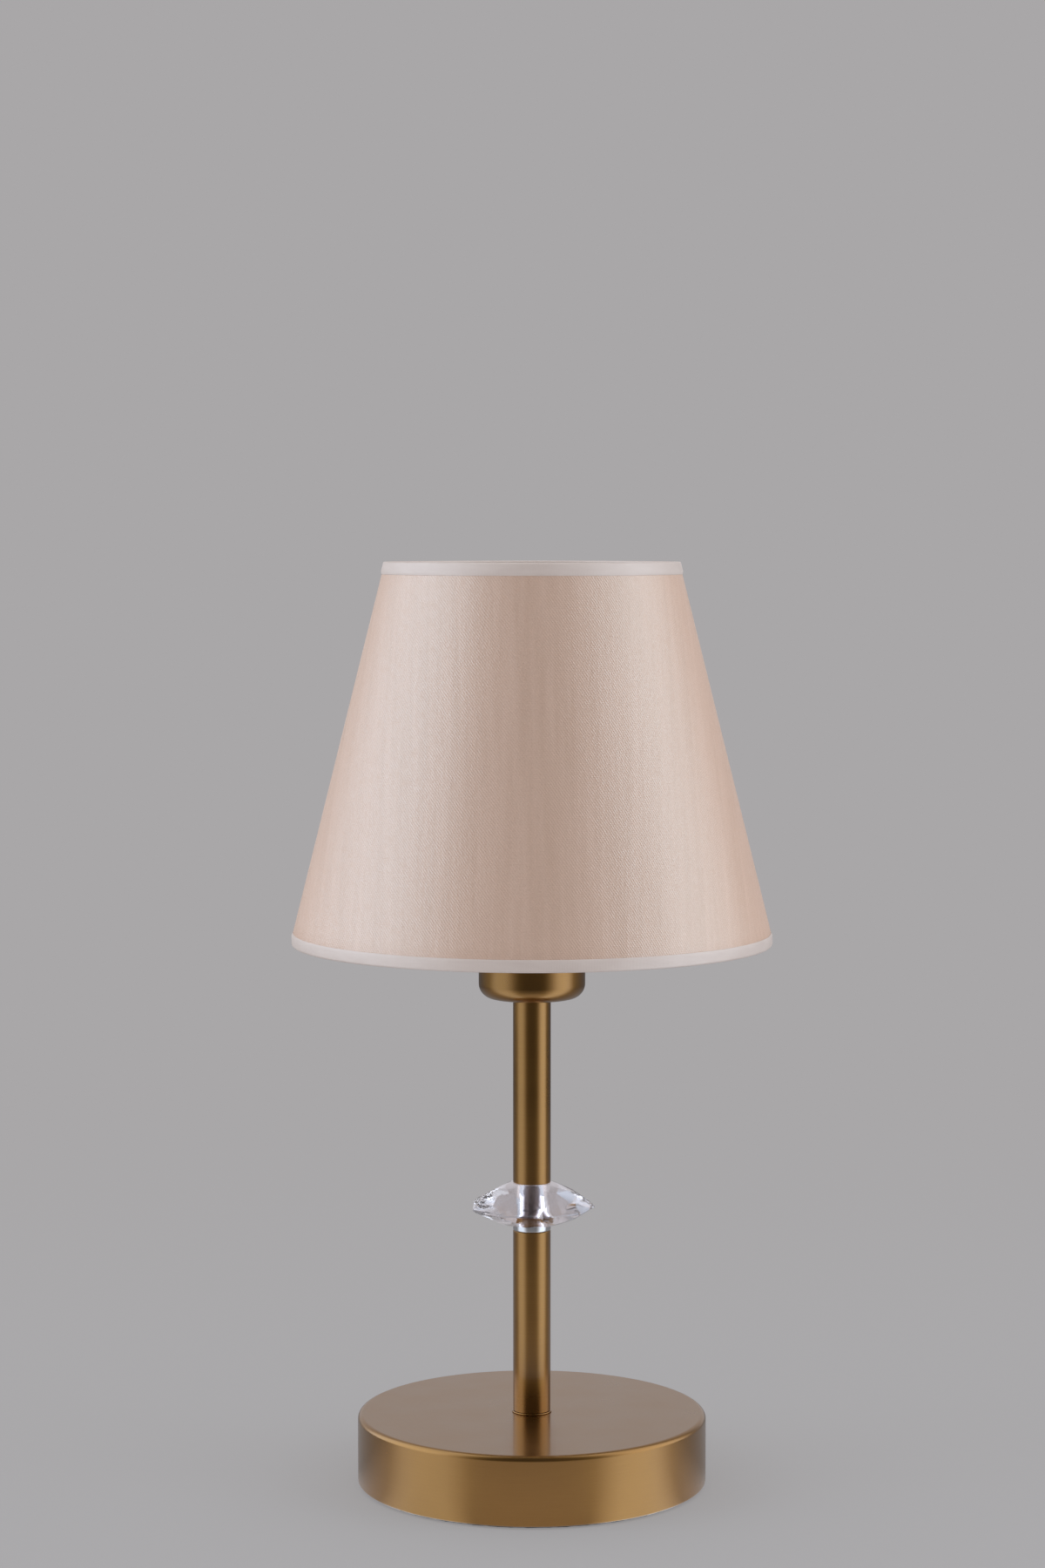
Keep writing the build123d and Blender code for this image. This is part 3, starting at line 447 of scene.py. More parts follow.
def brass_finish():
    """Satin brass under clear lacquer, brushed round the lamp's axis."""
    tones = colours()
    finish = Finish("antique_brass", {
        "Metallic": 1.0, "Coat Weight": 0.75, "Coat Roughness": 0.1, "Coat IOR": 1.5,
    })
    lines_to_the_metre = 3200
    breaks_to_the_metre = 70
    askew = 0.7
    place = finish.place()
    spot = finish.split(place)
    flat = finish.node("ShaderNodeCombineXYZ", {"X": spot["X"], "Y": spot["Y"]}).outputs[0]
    along = finish.sum(spot["X"], finish.times(spot["Y"], askew))
    brushed = finish.node("ShaderNodeCombineXYZ", {
        "X": finish.times(finish.distance(flat), lines_to_the_metre),
        "Y": finish.times(spot["Z"], lines_to_the_metre),
        "Z": finish.times(along, breaks_to_the_metre),
    }).outputs[0]
    lines = finish.noise(brushed, detail=3.0)
    patches = finish.noise(place, scale=45, detail=3.0)
    grain = finish.noise(place, scale=2600, detail=1.0)
    share = finish.weigh((patches, 0.55), (lines, 0.3), (grain, 0.15))
    tone = finish.between(share, 0, 1, edge=(0.35, 0.65))
    finish.give("Base Color", finish.mix(tone, tones.brass_deep, tones.brass))
    finish.give("Roughness", finish.between(patches, low=0.27, high=0.34))
    finish.give("Normal", finish.bump(lines, distance=0.000012, strength=0.6))
    return finish


def acrylic_finish():
    """Clear polished acrylic with the faintest haze."""
    finish = Finish("clear_acrylic", {
        "Base Color": (*colours().acrylic, 1), "Transmission Weight": 0.985, "IOR": 1.49,
    })
    haze = finish.noise(finish.place(), scale=160, detail=3.0)
    finish.give("Roughness", finish.between(haze, low=0.0, high=0.03, edge=(0.5, 0.8)))
    return finish


def cloth_finish():
    """Champagne satin twill: broken diagonal ribs over weft threads, with slubs down the cloth."""
    tones = colours()
    size = sizes()
    finish = Finish("shade_cloth", {
        "IOR": 3.3, "Specular Tint": (*tones.cloth_gloss, 1), "Sheen Weight": 0.2, "Sheen Roughness": 0.45,
    })
    diagonal = finish.ribs(finish.weave_place(degrees=-36), size.twill_pitch, wander=1.8)
    weft = finish.ribs(finish.weave_place(degrees=90), size.weft_pitch, wander=0.8)
    slubs = finish.noise(finish.weave_place(scale=(330, 17, 1)), detail=4.0)
    streaks = finish.noise(finish.weave_place(scale=(70, 4, 1)))
    fuzz = finish.noise(finish.weave_place(), scale=1700)
    breaks = finish.noise(finish.weave_place(scale=(900, 300, 1)), detail=3.0)
    floats = finish.times(diagonal, finish.between(breaks, low=0.25, high=1, edge=(0.35, 0.6)))
    yarn = finish.weigh((slubs, 0.5), (streaks, 0.4), (fuzz, 0.5))
    weave = finish.weigh((floats, 0.65), (weft, 0.15), (fuzz, 0.75))
    # The weave's share in the tone makes the furrows between the floats darker: partly the darker warp
    # between paler floats, partly painted shade in the furrows.
    tone = finish.between(finish.weigh((yarn, 1), (weave, 0.35)), 0, 1, edge=(0.68, 1.18))
    finish.give("Base Color", finish.mix(tone, tones.cloth, tones.cloth_pale))
    finish.give("Roughness", finish.between(weave, low=0.56, high=0.37, edge=(0.45, 0.95)))
    finish.give("Normal", finish.bump(weave, distance=0.00009, strength=0.9))
    return finish


def tape_finish():
    """Cream binding tape with a fine crosswise rib."""
    tones = colours()
    size = sizes()
    finish = Finish("binding_tape", {
        "Roughness": 0.5, "IOR": 2.4, "Specular Tint": (*tones.tape_gloss, 1),
    })
    ribs = finish.ribs(finish.weave_place(), size.tape_rib, wander=1.2)
    weft = finish.ribs(finish.weave_place(degrees=90), size.tape_weft, wander=1.2)
    mottle = finish.noise(finish.weave_place(scale=(90, 260, 1)), detail=3.0)
    yarn = finish.between(finish.weigh((mottle, 0.85), (ribs, 0.15)), 0, 1)
    finish.give("Base Color", finish.mix(yarn, tones.tape, tones.tape_pale))
    weave = finish.weigh((ribs, 0.5), (weft, 0.5))
    finish.give("Normal", finish.bump(weave, distance=0.00005, strength=0.6))
    return finish


def felt_finish():
    """Black pressed felt, with matted fibres."""
    finish = Finish("felt", {"Roughness": 0.95, "Sheen Weight": 0.12, "Sheen Roughness": 0.5})
    place = finish.place()
    fibres = finish.noise(place, scale=1500, detail=4.0)
    tufts = finish.noise(place, scale=220, detail=3.0)
    paler = 1.7
    dark = SLOT_COLOURS["felt"]
    pale = [paler * part for part in dark]
    tone = finish.between(finish.sum(fibres, tufts), 0, 1, edge=(0.7, 1.3))
    finish.give("Base Color", finish.mix(tone, dark, pale))
    matted = finish.weigh((fibres, 1), (tufts, 0.6))
    finish.give("Normal", finish.bump(matted, distance=0.0004, strength=0.8))
    return finish


# The plainer finishes: metallic, roughness, size of the grain, its depth, and how much the tone varies
PLAIN_FINISHES = {
    "cast_iron": (0.6, 0.75, 0.0014, 0.00015, 0.5),
    "zinc_steel": (1.0, 0.16, 0.0012, 0.000004, 0.12),
    "rod_steel": (1.0, 0.16, 0.0012, 0.000004, 0.12),
    "white_steel": (0.0, 0.35, 0.0009, 0.00002, 0.05),
    "black_rubber": (0.0, 0.7, 0.0005, 0.00003, 0.3),
    "nylon": (0.0, 0.5, 0.0010, 0.00002, 0.08),
    "chrome": (1.0, 0.06, 0.0040, 0.000002, 0.04),
    "holder_plastic": (0.0, 0.42, 0.0006, 0.000012, 0.05),
    "contact_brass": (1.0, 0.3, 0.0007, 0.00001, 0.2),
    "shell_metal": (1.0, 0.32, 0.0008, 0.00001, 0.15),
    "shade_lining": (0.0, 0.55, 0.0007, 0.00002, 0.04),
    "opal_plastic": (0.0, 0.3, 0.0060, 0.000004, 0.03),
    "bulb_plastic": (0.0, 0.4, 0.0007, 0.000012, 0.04),
    "bulb_metal": (1.0, 0.22, 0.0009, 0.000008, 0.12),
    "black_insulator": (0.0, 0.2, 0.0008, 0.000006, 0.3),
}


def plain_finish(slot):
    """A finish with mottled tone, uneven gloss and a fine grain, in the slot's own colour."""
    metallic, roughness, grain_size, grain_depth, variation = PLAIN_FINISHES[slot]
    mottle_fineness = 0.12
    unevenness = 0.15
    finish = Finish(slot, {"Metallic": metallic})
    place = finish.place()
    mottle = finish.noise(place, scale=mottle_fineness / grain_size, detail=3.0)
    grain = finish.noise(place, scale=1 / grain_size)
    # The tie rod takes its darker colour from the settings: painted shade over its zinc plating.
    tone = colours().rod_steel if slot == "rod_steel" else SLOT_COLOURS[slot]
    deep = [part * (1 - variation) for part in tone]
    gloss = finish.between(mottle, roughness * (1 - unevenness), roughness * (1 + unevenness))
    finish.give("Base Color", finish.mix(finish.between(mottle, 0, 1), deep, tone))
    finish.give("Roughness", gloss)
    finish.give("Normal", finish.bump(grain, grain_depth, strength=0.7))
    return finish


OWN_FINISHES = {
    "antique_brass": brass_finish,
    "clear_acrylic": acrylic_finish,
    "shade_cloth": cloth_finish,
    "binding_tape": tape_finish,
    "felt": felt_finish,
}
MADE_FINISHES = {}


def finish_for(slot):
    """A slot's material, made the first time it is asked for."""
    if slot not in MADE_FINISHES:
        finish = OWN_FINISHES[slot]() if slot in OWN_FINISHES else plain_finish(slot)
        MADE_FINISHES[slot] = finish.material
    return MADE_FINISHES[slot]


def dress(nodes, slot):
    """Give CAD nodes a finish."""
    for name in nodes:
        mesh = frame["nodes"][name].data
        mesh.materials.clear()
        mesh.materials.append(finish_for(slot))


def as_mesh(form, name):
    """Turn a shape into a mesh."""
    mesh = bpy.data.meshes.new(name)
    form.to_mesh(mesh)
    form.free()
    return mesh


def add_object(name, data):
    """Put an object in the scene."""
    made = bpy.data.objects.new(name, data)
    bpy.context.scene.collection.objects.link(made)
    return made


def add_piece(form, name, body, slot, nodes=()):
    """Turn a shape into a smooth piece that rides on a body and stands for CAD nodes."""
    mesh = as_mesh(form, name)
    mesh.shade_smooth()
    mesh.materials.append(finish_for(slot))
    piece = add_object(name, mesh)
    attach(piece, body)
    if nodes:
        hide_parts(*nodes)
    return piece


def round_edges(piece, width, segments=3, sharp=SHARP):
    """Round the sharp edges of a piece, and keep its flat faces flat to the light."""
    bevel = piece.modifiers.new("rounded edges", "BEVEL")
    bevel.width = width
    bevel.segments = segments
    bevel.profile = 0.5
    bevel.limit_method = "ANGLE"
    bevel.angle_limit = sharp
    keep_flat(piece)


def keep_flat(piece):
    """Weigh a piece's normals by face, so that narrow curves don't shade the faces beside them."""
    normals = piece.modifiers.new("face weighted normals", "WEIGHTED_NORMAL")
    normals.keep_sharp = True


def thicken(piece, thickness):
    """Give an open wall its thickness, inwards."""
    wall = piece.modifiers.new("wall", "SOLIDIFY")
    wall.thickness = thickness
    wall.offset = -1


def smooth(share):
    """A smooth step from 0 to 1."""
    share = min(1.0, max(0.0, share))
    return share * share * (3 - 2 * share)


def wander(waves, turn, height=0.0):
    """How far waves take an edge or a wall at a turn and a height, with every wave from -1 to 1."""
    return sum(math.sin(count * turn + slant * height + phase) for count, slant, phase in waves)


def arc(centre, radius, start, end, count):
    """Points of an arc in an outline, with angles in degrees from outwards."""
    turns = [math.radians(start + (end - start) * step / count) for step in range(count + 1)]
    return [(centre[0] + radius * math.cos(turn), centre[1] + radius * math.sin(turn)) for turn in turns]


def draw_outline(form, outline, closed):
    """Draw an outline of (radius, height) points in a shape, and give its vertices and edges."""
    points = [form.verts.new((radius, 0, height)) for radius, height in outline]
    ends = points[1:] + points[:1] if closed else points[1:]
    return points + [form.edges.new(pair) for pair in zip(points, ends)]


def turned_form(outline, steps, closed=True):
    """A shape turned about Z from an outline of (radius, height) points."""
    form = bmesh.new()
    bmesh.ops.spin(
        form, geom=draw_outline(form, outline, closed), cent=(0, 0, 0), axis=(0, 0, 1), dvec=(0, 0, 0),
        angle=math.tau, steps=steps, use_merge=True, use_duplicate=False,
    )
    bmesh.ops.remove_doubles(form, verts=form.verts, dist=WELD)
    bmesh.ops.recalc_face_normals(form, faces=form.faces)
    return form


def wind(form, geometry, pitch, turns):
    """Wind part of a shape up round Z, as a thread is."""
    bmesh.ops.spin(
        form, geom=geometry, cent=(0, 0, 0), axis=(0, 0, 1), dvec=(0, 0, pitch / THREAD_STEPS),
        angle=math.tau * turns, steps=THREAD_STEPS * turns, use_merge=False, use_duplicate=False,
    )


def face_outwards(form):
    """Point the faces of an open wall away from the axis."""
    bmesh.ops.recalc_face_normals(form, faces=form.faces)
    side = max(form.faces, key=lambda face: face.calc_center_median().x)
    if side.normal.x < 0:
        bmesh.ops.reverse_faces(form, faces=form.faces)


def softened_copy(node, name, body, slot, width, sharp=SHARP):
    """A CAD node's shape with its edges rounded."""
    form = bmesh.new()
    form.from_mesh(frame["nodes"][node].data)
    bmesh.ops.remove_doubles(form, verts=form.verts, dist=WELD)
    bmesh.ops.dissolve_limit(form, angle_limit=COPLANAR, verts=form.verts, edges=form.edges)
    bmesh.ops.recalc_face_normals(form, faces=form.faces)
    round_edges(add_piece(form, name, body, slot, [node]), width, sharp=sharp)


def drill(piece, radius, depth, steps, place):
    """Cut a round hole in a piece, along a placed Z axis."""
    form = bmesh.new()
    bmesh.ops.create_cone(
        form, cap_ends=True, segments=steps, depth=depth, radius1=radius, radius2=radius, matrix=place
    )
    cutter_mesh = as_mesh(form, "cutter")
    cutter = add_object("cutter", cutter_mesh)
    cut = piece.modifiers.new("cut", "BOOLEAN")
    cut.operation = "DIFFERENCE"
    cut.solver = "EXACT"
    cut.object = cutter
    whole = piece.data
    view = bpy.context.evaluated_depsgraph_get()
    piece.data = bpy.data.meshes.new_from_object(piece.evaluated_get(view))
    piece.modifiers.clear()
    piece.data.name = whole.name
    bpy.data.objects.remove(cutter)
    bpy.data.meshes.remove(cutter_mesh)
    bpy.data.meshes.remove(whole)


def wrap_flat(form, radius):
    """Give a turned shape a UV map in metres: round the axis, then up and inwards."""
    layer = form.loops.layers.uv.new("wrap")
    for face in form.faces:
        centre = face.calc_center_median()
        middle = math.atan2(centre.y, centre.x)
        for loop in face.loops:
            spot = loop.vert.co
            turn = math.atan2(spot.y, spot.x) - middle
            turn = (turn + math.pi) % math.tau - math.pi
            loop[layer].uv = ((middle + turn) * radius, spot.z - math.hypot(spot.x, spot.y))


class LAMP_OT_base(bpy.types.Operator):
    """Model the base cover, the cord grommet and the felt"""

    bl_idname = "lamp.base"
    bl_label = "Base"

    def execute(self, context):
        self.cover()
        self.grommet()
        self.felt()
        return {"FINISHED"}

    def cover(self):
        """The spun drum, open below, with the cord's hole at the back."""
        size = sizes()
        low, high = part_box("base_cover")
        radius = high.x
        edge_centre = (radius - size.cover_edge, high.z - size.cover_edge)
        outline = [
            (radius - size.cover_sheet, low.z),
            *arc((radius - size.cover_rim, low.z + size.cover_rim), size.cover_rim, -90, 0, 6),
            *arc(edge_centre, size.cover_edge, 0, 90, 14),
            (size.rod_hole, high.z),
            (size.rod_hole, high.z - size.cover_sheet),
            *arc(edge_centre, size.cover_edge - size.cover_sheet, 90, 0, 6),
        ]
        form = turned_form(outline, BASE_STEPS)
        piece = add_piece(form, "base_cover_shell", STAND, "antique_brass", ["base_cover"])
        grommet_low, grommet_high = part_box("cord_grommet")
        in_wall = Matrix.Translation((0, radius, (grommet_low.z + grommet_high.z) / 2))
        hole = size.grommet_bore + size.grommet_wall + size.grommet_play
        backwards = in_wall @ Matrix.Rotation(math.pi / 2, 4, "X")
        drill(piece, hole, DRILL_REACH * size.cover_sheet, HOLE_STEPS, backwards)
        piece.data.set_sharp_from_angle(angle=SHARP)
        keep_flat(piece)

    def grommet(self):
        """The rubber bush in the rear wall."""
        size = sizes()
        low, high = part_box("cord_grommet")
        neck = size.grommet_bore + size.grommet_wall
        hole = neck + size.grommet_play
        lip = hole + (high.x - hole) * size.grommet_lip
        outline = [
            (size.grommet_bore, low.y),
            (lip, low.y),
            (lip, low.y + size.grommet_flange),
            (neck, low.y + size.grommet_flange),
            (neck, high.y - size.grommet_flange),
            (high.x, high.y - size.grommet_flange),
            (high.x, high.y),
            (size.grommet_bore, high.y),
        ]
        form = turned_form(outline, GROMMET_STEPS)
        onto_wall = Matrix.Translation((0, 0, (low.z + high.z) / 2)) @ Matrix.Rotation(-math.pi / 2, 4, "X")
        bmesh.ops.transform(form, matrix=onto_wall, verts=form.verts)
        piece = add_piece(form, "cord_grommet_bush", STAND, "black_rubber", ["cord_grommet"])
        round_edges(piece, size.grommet_edge)

    def felt(self):
        """The felt disc under the base, with a slightly ragged edge."""
        size = sizes()
        low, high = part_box("felt_pad")
        radius = high.x
        soft = (high.z - low.z) / 4
        outline = [
            (0, low.z),
            (radius / 2, low.z),
            (radius - 4 * soft, low.z),
            *arc((radius - soft, low.z + soft), soft, -90, 0, 4),
            *arc((radius - soft, high.z - soft), soft, 0, 90, 4),
            (radius / 2, high.z),
            (0, high.z),
        ]
        form = turned_form(outline, BASE_STEPS, closed=False)
        rounded_from = radius - 1.2 * soft
        for vert in form.verts:
            reach = math.hypot(vert.co.x, vert.co.y)
            if reach > rounded_from:
                ragged = size.felt_ragged * wander(FELT_WAVES, math.atan2(vert.co.y, vert.co.x))
                vert.co.xy *= 1 - (size.felt_trim + ragged) / reach
        piece = add_piece(form, "felt_disc", STAND, "felt", ["felt_pad"])


class LAMP_OT_stem(bpy.types.Operator):
    """Model the stem's washer, its two tubes and the bead's collar"""

    bl_idname = "lamp.stem"
    bl_label = "Stem"

    def execute(self, context):
        size = sizes()
        tube_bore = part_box("lower_tube")[1].x - size.tube_wall
        rings = [
            ("stem_foot_washer", "stem_washer", size.rod_hole, "antique_brass", size.metal_edge),
            ("lower_stem_tube", "lower_tube", tube_bore, "antique_brass", size.metal_edge),
            ("upper_stem_tube", "upper_tube", tube_bore, "antique_brass", size.metal_edge),
            ("bead_seat_collar", "bead_collar", size.rod_hole, "chrome", size.collar_edge),
        ]
        for name, node, bore, slot, edge in rings:
            low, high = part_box(node)
            bottom = low.z + size.seat_gap
            top = high.z - size.seat_gap
            outline = [(bore, bottom), (high.x, bottom), (high.x, top), (bore, top)]
            piece = add_piece(turned_form(outline, size.turn_steps), name, STAND, slot, [node])
            round_edges(piece, edge)
        return {"FINISHED"}


class LAMP_OT_bead(bpy.types.Operator):
    """Model the faceted bead with polished edges"""

    bl_idname = "lamp.bead"
    bl_label = "Faceted bead"

    def execute(self, context):
        softened_copy("bead", "faceted_bead", STAND, "clear_acrylic", sizes().bead_edge, FACET)
        return {"FINISHED"}


class LAMP_OT_lampholder(bpy.types.Operator):
    """Model the lampholder's metal cup and its threaded sleeve"""

    bl_idname = "lamp.lampholder"
    bl_label = "Lampholder"

    def execute(self, context):
        self.cup()
        self.sleeve()
        self.thread()
        return {"FINISHED"}

    def cup(self):
        """The spun cup, open at the top."""
        size = sizes()
        low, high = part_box("holder_cup")
        radius = high.x
        corner = (radius - size.cup_corner, low.z + size.cup_corner)
        outline = [
            (size.rod_hole, low.z),
            *arc(corner, size.cup_corner, -90, 0, 16),
            (radius, high.z),
            (radius - size.cup_wall, high.z),
            *arc(corner, size.cup_corner - size.cup_wall, 0, -90, 10),
            (size.rod_hole, low.z + size.cup_wall),
        ]
        form = turned_form(outline, size.turn_steps)
        piece = add_piece(form, "lampholder_cup", STAND, "antique_brass", ["holder_cup"])
        round_edges(piece, size.metal_edge)

    def sleeve(self):
        """The moulded sleeve with its flange, and the bore for the screw shell."""
        size = sizes()
        low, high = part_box("holder_sleeve")
        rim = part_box("holder_cup")[1].z
        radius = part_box("holder_cap")[1].x
        bore = radius - size.sleeve_wall
        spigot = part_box("contact_block")[1].x
        outline = [
            (bore, low.z),
            (spigot, low.z),
            (spigot, rim - size.sleeve_skirt),
            (radius, rim - size.sleeve_skirt),
            (radius, rim),
            (high.x, rim),
            (high.x, rim + size.sleeve_flange),
            (radius, rim + size.sleeve_flange),
            (radius, high.z),
            (bore, high.z),
        ]
        form = turned_form(outline, size.turn_steps)
        piece = add_piece(form, "lampholder_sleeve", STAND, "holder_plastic", ["holder_sleeve"])
        round_edges(piece, size.plastic_edge)

    def thread(self):
        """The sleeve's outside thread, a ridge wound up from the flange."""
        size = sizes()
        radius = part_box("holder_cap")[1].x
        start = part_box("holder_cup")[1].z + size.sleeve_flange
        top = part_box("holder_sleeve")[1].z - 2 * size.plastic_edge
        turns = math.floor((top - start - size.thread_width) / size.thread_pitch)
        root = radius - size.thread_depth
        crest = radius + size.thread_depth
        flank = (size.thread_width - size.thread_crest) / 2
        outline = [
            (root, start),
            (crest, start + flank),
            (crest, start + flank + size.thread_crest),
            (root, start + size.thread_width),
        ]
        form = bmesh.new()
        points = [form.verts.new((reach, 0, height)) for reach, height in outline]
        form.faces.new(points)
        wind(form, form.faces[:] + form.edges[:] + points, size.thread_pitch, turns)
        bmesh.ops.recalc_face_normals(form, faces=form.faces)
        piece = add_piece(form, "lampholder_thread", STAND, "holder_plastic")
        piece.data.set_sharp_from_angle(angle=SHARP)


class LAMP_OT_shade_frame(bpy.types.Operator):
    """Model the ring that clamps the shade, and the fitter under it"""

    bl_idname = "lamp.shade_frame"
    bl_label = "Shade ring and frame"

    def execute(self, context):
        edge = sizes().plastic_edge
        softened_copy("shade_ring", "clamp_ring", RING, "holder_plastic", edge)
        softened_copy("fitter_ring", "fitter_plate", SHADE, "white_steel", edge)
        dress(["fitter_arms", "bottom_wire", "top_wire"], "white_steel")
        return {"FINISHED"}


class ShadePanel:
    """The lines that the shade's layers follow, read from the frame."""

    def __init__(self):
        cloth_low, cloth_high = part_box("shade_fabric")
        hem_low, hem_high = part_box("bottom_trim")
        tape_low, tape_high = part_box("top_trim")
        wire_low, wire_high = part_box("top_wire")
        self.bottom = cloth_low.z
        self.top = cloth_high.z
        self.hem_radius = cloth_high.x
        self.hem_top = hem_high.z
        self.tape_reach = hem_high.x - self.hem_radius
        self.top_tape_low = tape_low.z
        self.top_tape_high = tape_high.z
        self.low_tape_low = hem_low.z
        self.wire = wire_high.z - wire_low.z
        top_reach = tape_high.x - self.tape_reach
        self.lean = (self.hem_radius - top_reach) / (self.top_tape_low - self.hem_top)
        self.stretch = math.hypot(1, self.lean)
        self.tilt = self.lean / self.stretch
        self.apex = self.hem_radius / self.tilt

    def radius(self, height):
        """Radius of the cloth's face at a height."""
        return self.hem_radius - max(0.0, height - self.hem_top) * self.lean

    def slant(self, height):
        """Distance down the cloth from the point of its cone to a height."""
        return self.apex - (height - self.hem_top) * self.stretch


class LAMP_OT_shade_cloth(bpy.types.Operator):
    """Model the shade's cloth with its lapped seam, and the bindings of both edges"""

    bl_idname = "lamp.shade_cloth"
    bl_label = "Shade cloth"

    def execute(self, context):
        panel = ShadePanel()
        dress(["shade_liner"], "shade_lining")
        bindings = [self.bottom_binding(panel), self.top_binding(panel)]
        self.cloth(panel, bindings)
        return {"FINISHED"}

    def cloth(self, panel, bindings):
        """The cloth, rolled up from its flat cut with one lap at the back."""
        size = sizes()
        lap_turn = size.lap / panel.hem_radius
        whole = math.tau + lap_turn
        form = bmesh.new()
        cut = form.loops.layers.uv.new("flat_cut")
        bmesh.ops.create_grid(form, x_segments=SHADE_STEPS, y_segments=CLOTH_ROWS, size=0.5)
        spots = {}
        for vert in form.verts:
            turn = -math.pi - lap_turn / 2 + whole * (vert.co.x + 0.5)
            spots[vert] = (turn, panel.bottom + (panel.top - panel.bottom) * (vert.co.y + 0.5))
        for face in form.faces:
            for loop in face.loops:
                turn, height = spots[loop.vert]
                spread = turn * panel.tilt
                slant = panel.slant(height)
                loop[cut].uv = (slant * math.sin(spread), panel.apex - slant * math.cos(spread))
        for vert, (turn, height) in spots.items():
            reach = panel.radius(height) + self.stand_off(panel, turn, height, math.pi - lap_turn / 2)
            vert.co = (reach * math.sin(turn), -reach * math.cos(turn), height)
        face_outwards(form)
        piece = add_piece(form, "shade_cloth_panel", SHADE, "shade_cloth", ["shade_fabric"])
        thicken(piece, size.cloth)
        inner = panel.slant(panel.top)
        spread = whole * panel.tilt

    def stand_off(self, panel, turn, height, lap_start):
        """How far the cloth stands off its cone, where the tapes don't hold it down."""
        size = sizes()
        ramp_turn = size.lap_ramp / panel.hem_radius
        climb = smooth((turn - lap_start + ramp_turn) / ramp_turn)
        above_hem = smooth((height - panel.hem_top) / size.lap_ramp)
        below_tape = smooth((panel.top_tape_low - height) / size.lap_ramp)
        wave = size.cloth_wander / len(CLOTH_WAVES) * wander(CLOTH_WAVES, turn, height)
        return above_hem * below_tape * (size.lap_rise * climb + wave)

    def bottom_binding(self, panel):
        """The tape round the lower edge, notched for the arms."""
        size = sizes()
        wire_low, wire_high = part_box("bottom_wire")
        outside = panel.hem_radius + panel.tape_reach
        slack = 2 * (panel.tape_reach - size.tape)
        inside = wire_high.x - panel.wire - slack - size.tape
        low, high = panel.low_tape_low, panel.hem_top
        fold = size.low_fold
        outline = [
            (panel.hem_radius, high),
            (panel.hem_radius + size.tape_edge, high),
            (outside, high - size.tape_thinning),
            *arc((outside - fold, low + fold), fold, 0, -90, 6),
            *arc((inside + fold, low + fold), fold, -90, -180, 6),
            (inside, high),
            (inside + size.tape, high),
            (inside + size.tape, low + size.tape),
            (outside - size.tape, low + size.tape),
        ]
        piece = self.binding(outline, "bottom_binding", "bottom_trim", panel.hem_radius)
        arm_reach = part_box("fitter_arms")[0].x
        notch = (wire_high.z - wire_low.z) / 2 + size.tape
        at_wire = Matrix.Translation((-arm_reach, 0, (wire_low.z + wire_high.z) / 2))
        for index in range(ARM_COUNT):
            turn = Matrix.Rotation(math.pi + index * math.tau / ARM_COUNT, 4, "Z")
            outwards = turn @ at_wire @ Matrix.Rotation(math.pi / 2, 4, "Y")
            drill(piece, notch, NOTCH_REACH * size.tape, NOTCH_STEPS, outwards)
        piece.data.set_sharp_from_angle(angle=SHARP)
        keep_flat(piece)
        return piece

    def top_binding(self, panel):
        """The tape round the upper edge, folded over the wire."""
        size = sizes()
        low, high = panel.top_tape_low, panel.top_tape_high
        depth = panel.radius(high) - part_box("top_wire")[1].x + panel.wire + 3 * size.tape_pucker
        fold = size.top_fold
        outer_low = panel.radius(low) + panel.tape_reach
        outer_high = panel.radius(high) + panel.tape_reach
        inner_high = panel.radius(high) - depth - size.tape
        inner_low = inner_high + (high - low) * panel.lean
        outline = [
            (panel.radius(low), low),
            (panel.radius(low) + size.tape_edge, low),
            (outer_low - size.tape_thinning * panel.lean, low + size.tape_thinning),
            *arc((outer_high - fold + fold * panel.lean, high - fold), fold, 0, 90, 6),
            *arc((inner_high + fold, high - fold), fold, 90, 180, 6),
            (inner_low, low),
            (inner_low + size.tape, low),
            (inner_high + size.tape, high - size.tape),
            (outer_high - size.tape, high - size.tape),
        ]
        piece = self.binding(outline, "top_binding", "top_trim", panel.radius(high))
        round_edges(piece, size.top_round, segments=2)
        return piece

    def binding(self, outline, name, node, radius):
        """A tape turned from its outline, which wanders in a little as it goes round."""
        size = sizes()
        form = turned_form(outline, SHADE_STEPS)
        for vert in form.verts:
            wave = wander(TAPE_WAVES, math.atan2(vert.co.y, vert.co.x)) / len(TAPE_WAVES)
            reach = math.hypot(vert.co.x, vert.co.y)
            vert.co.xy *= 1 - size.tape_pucker * (1 + wave) / 2 / reach
        wrap_flat(form, radius)
        return add_piece(form, name, SHADE, "binding_tape", [node])


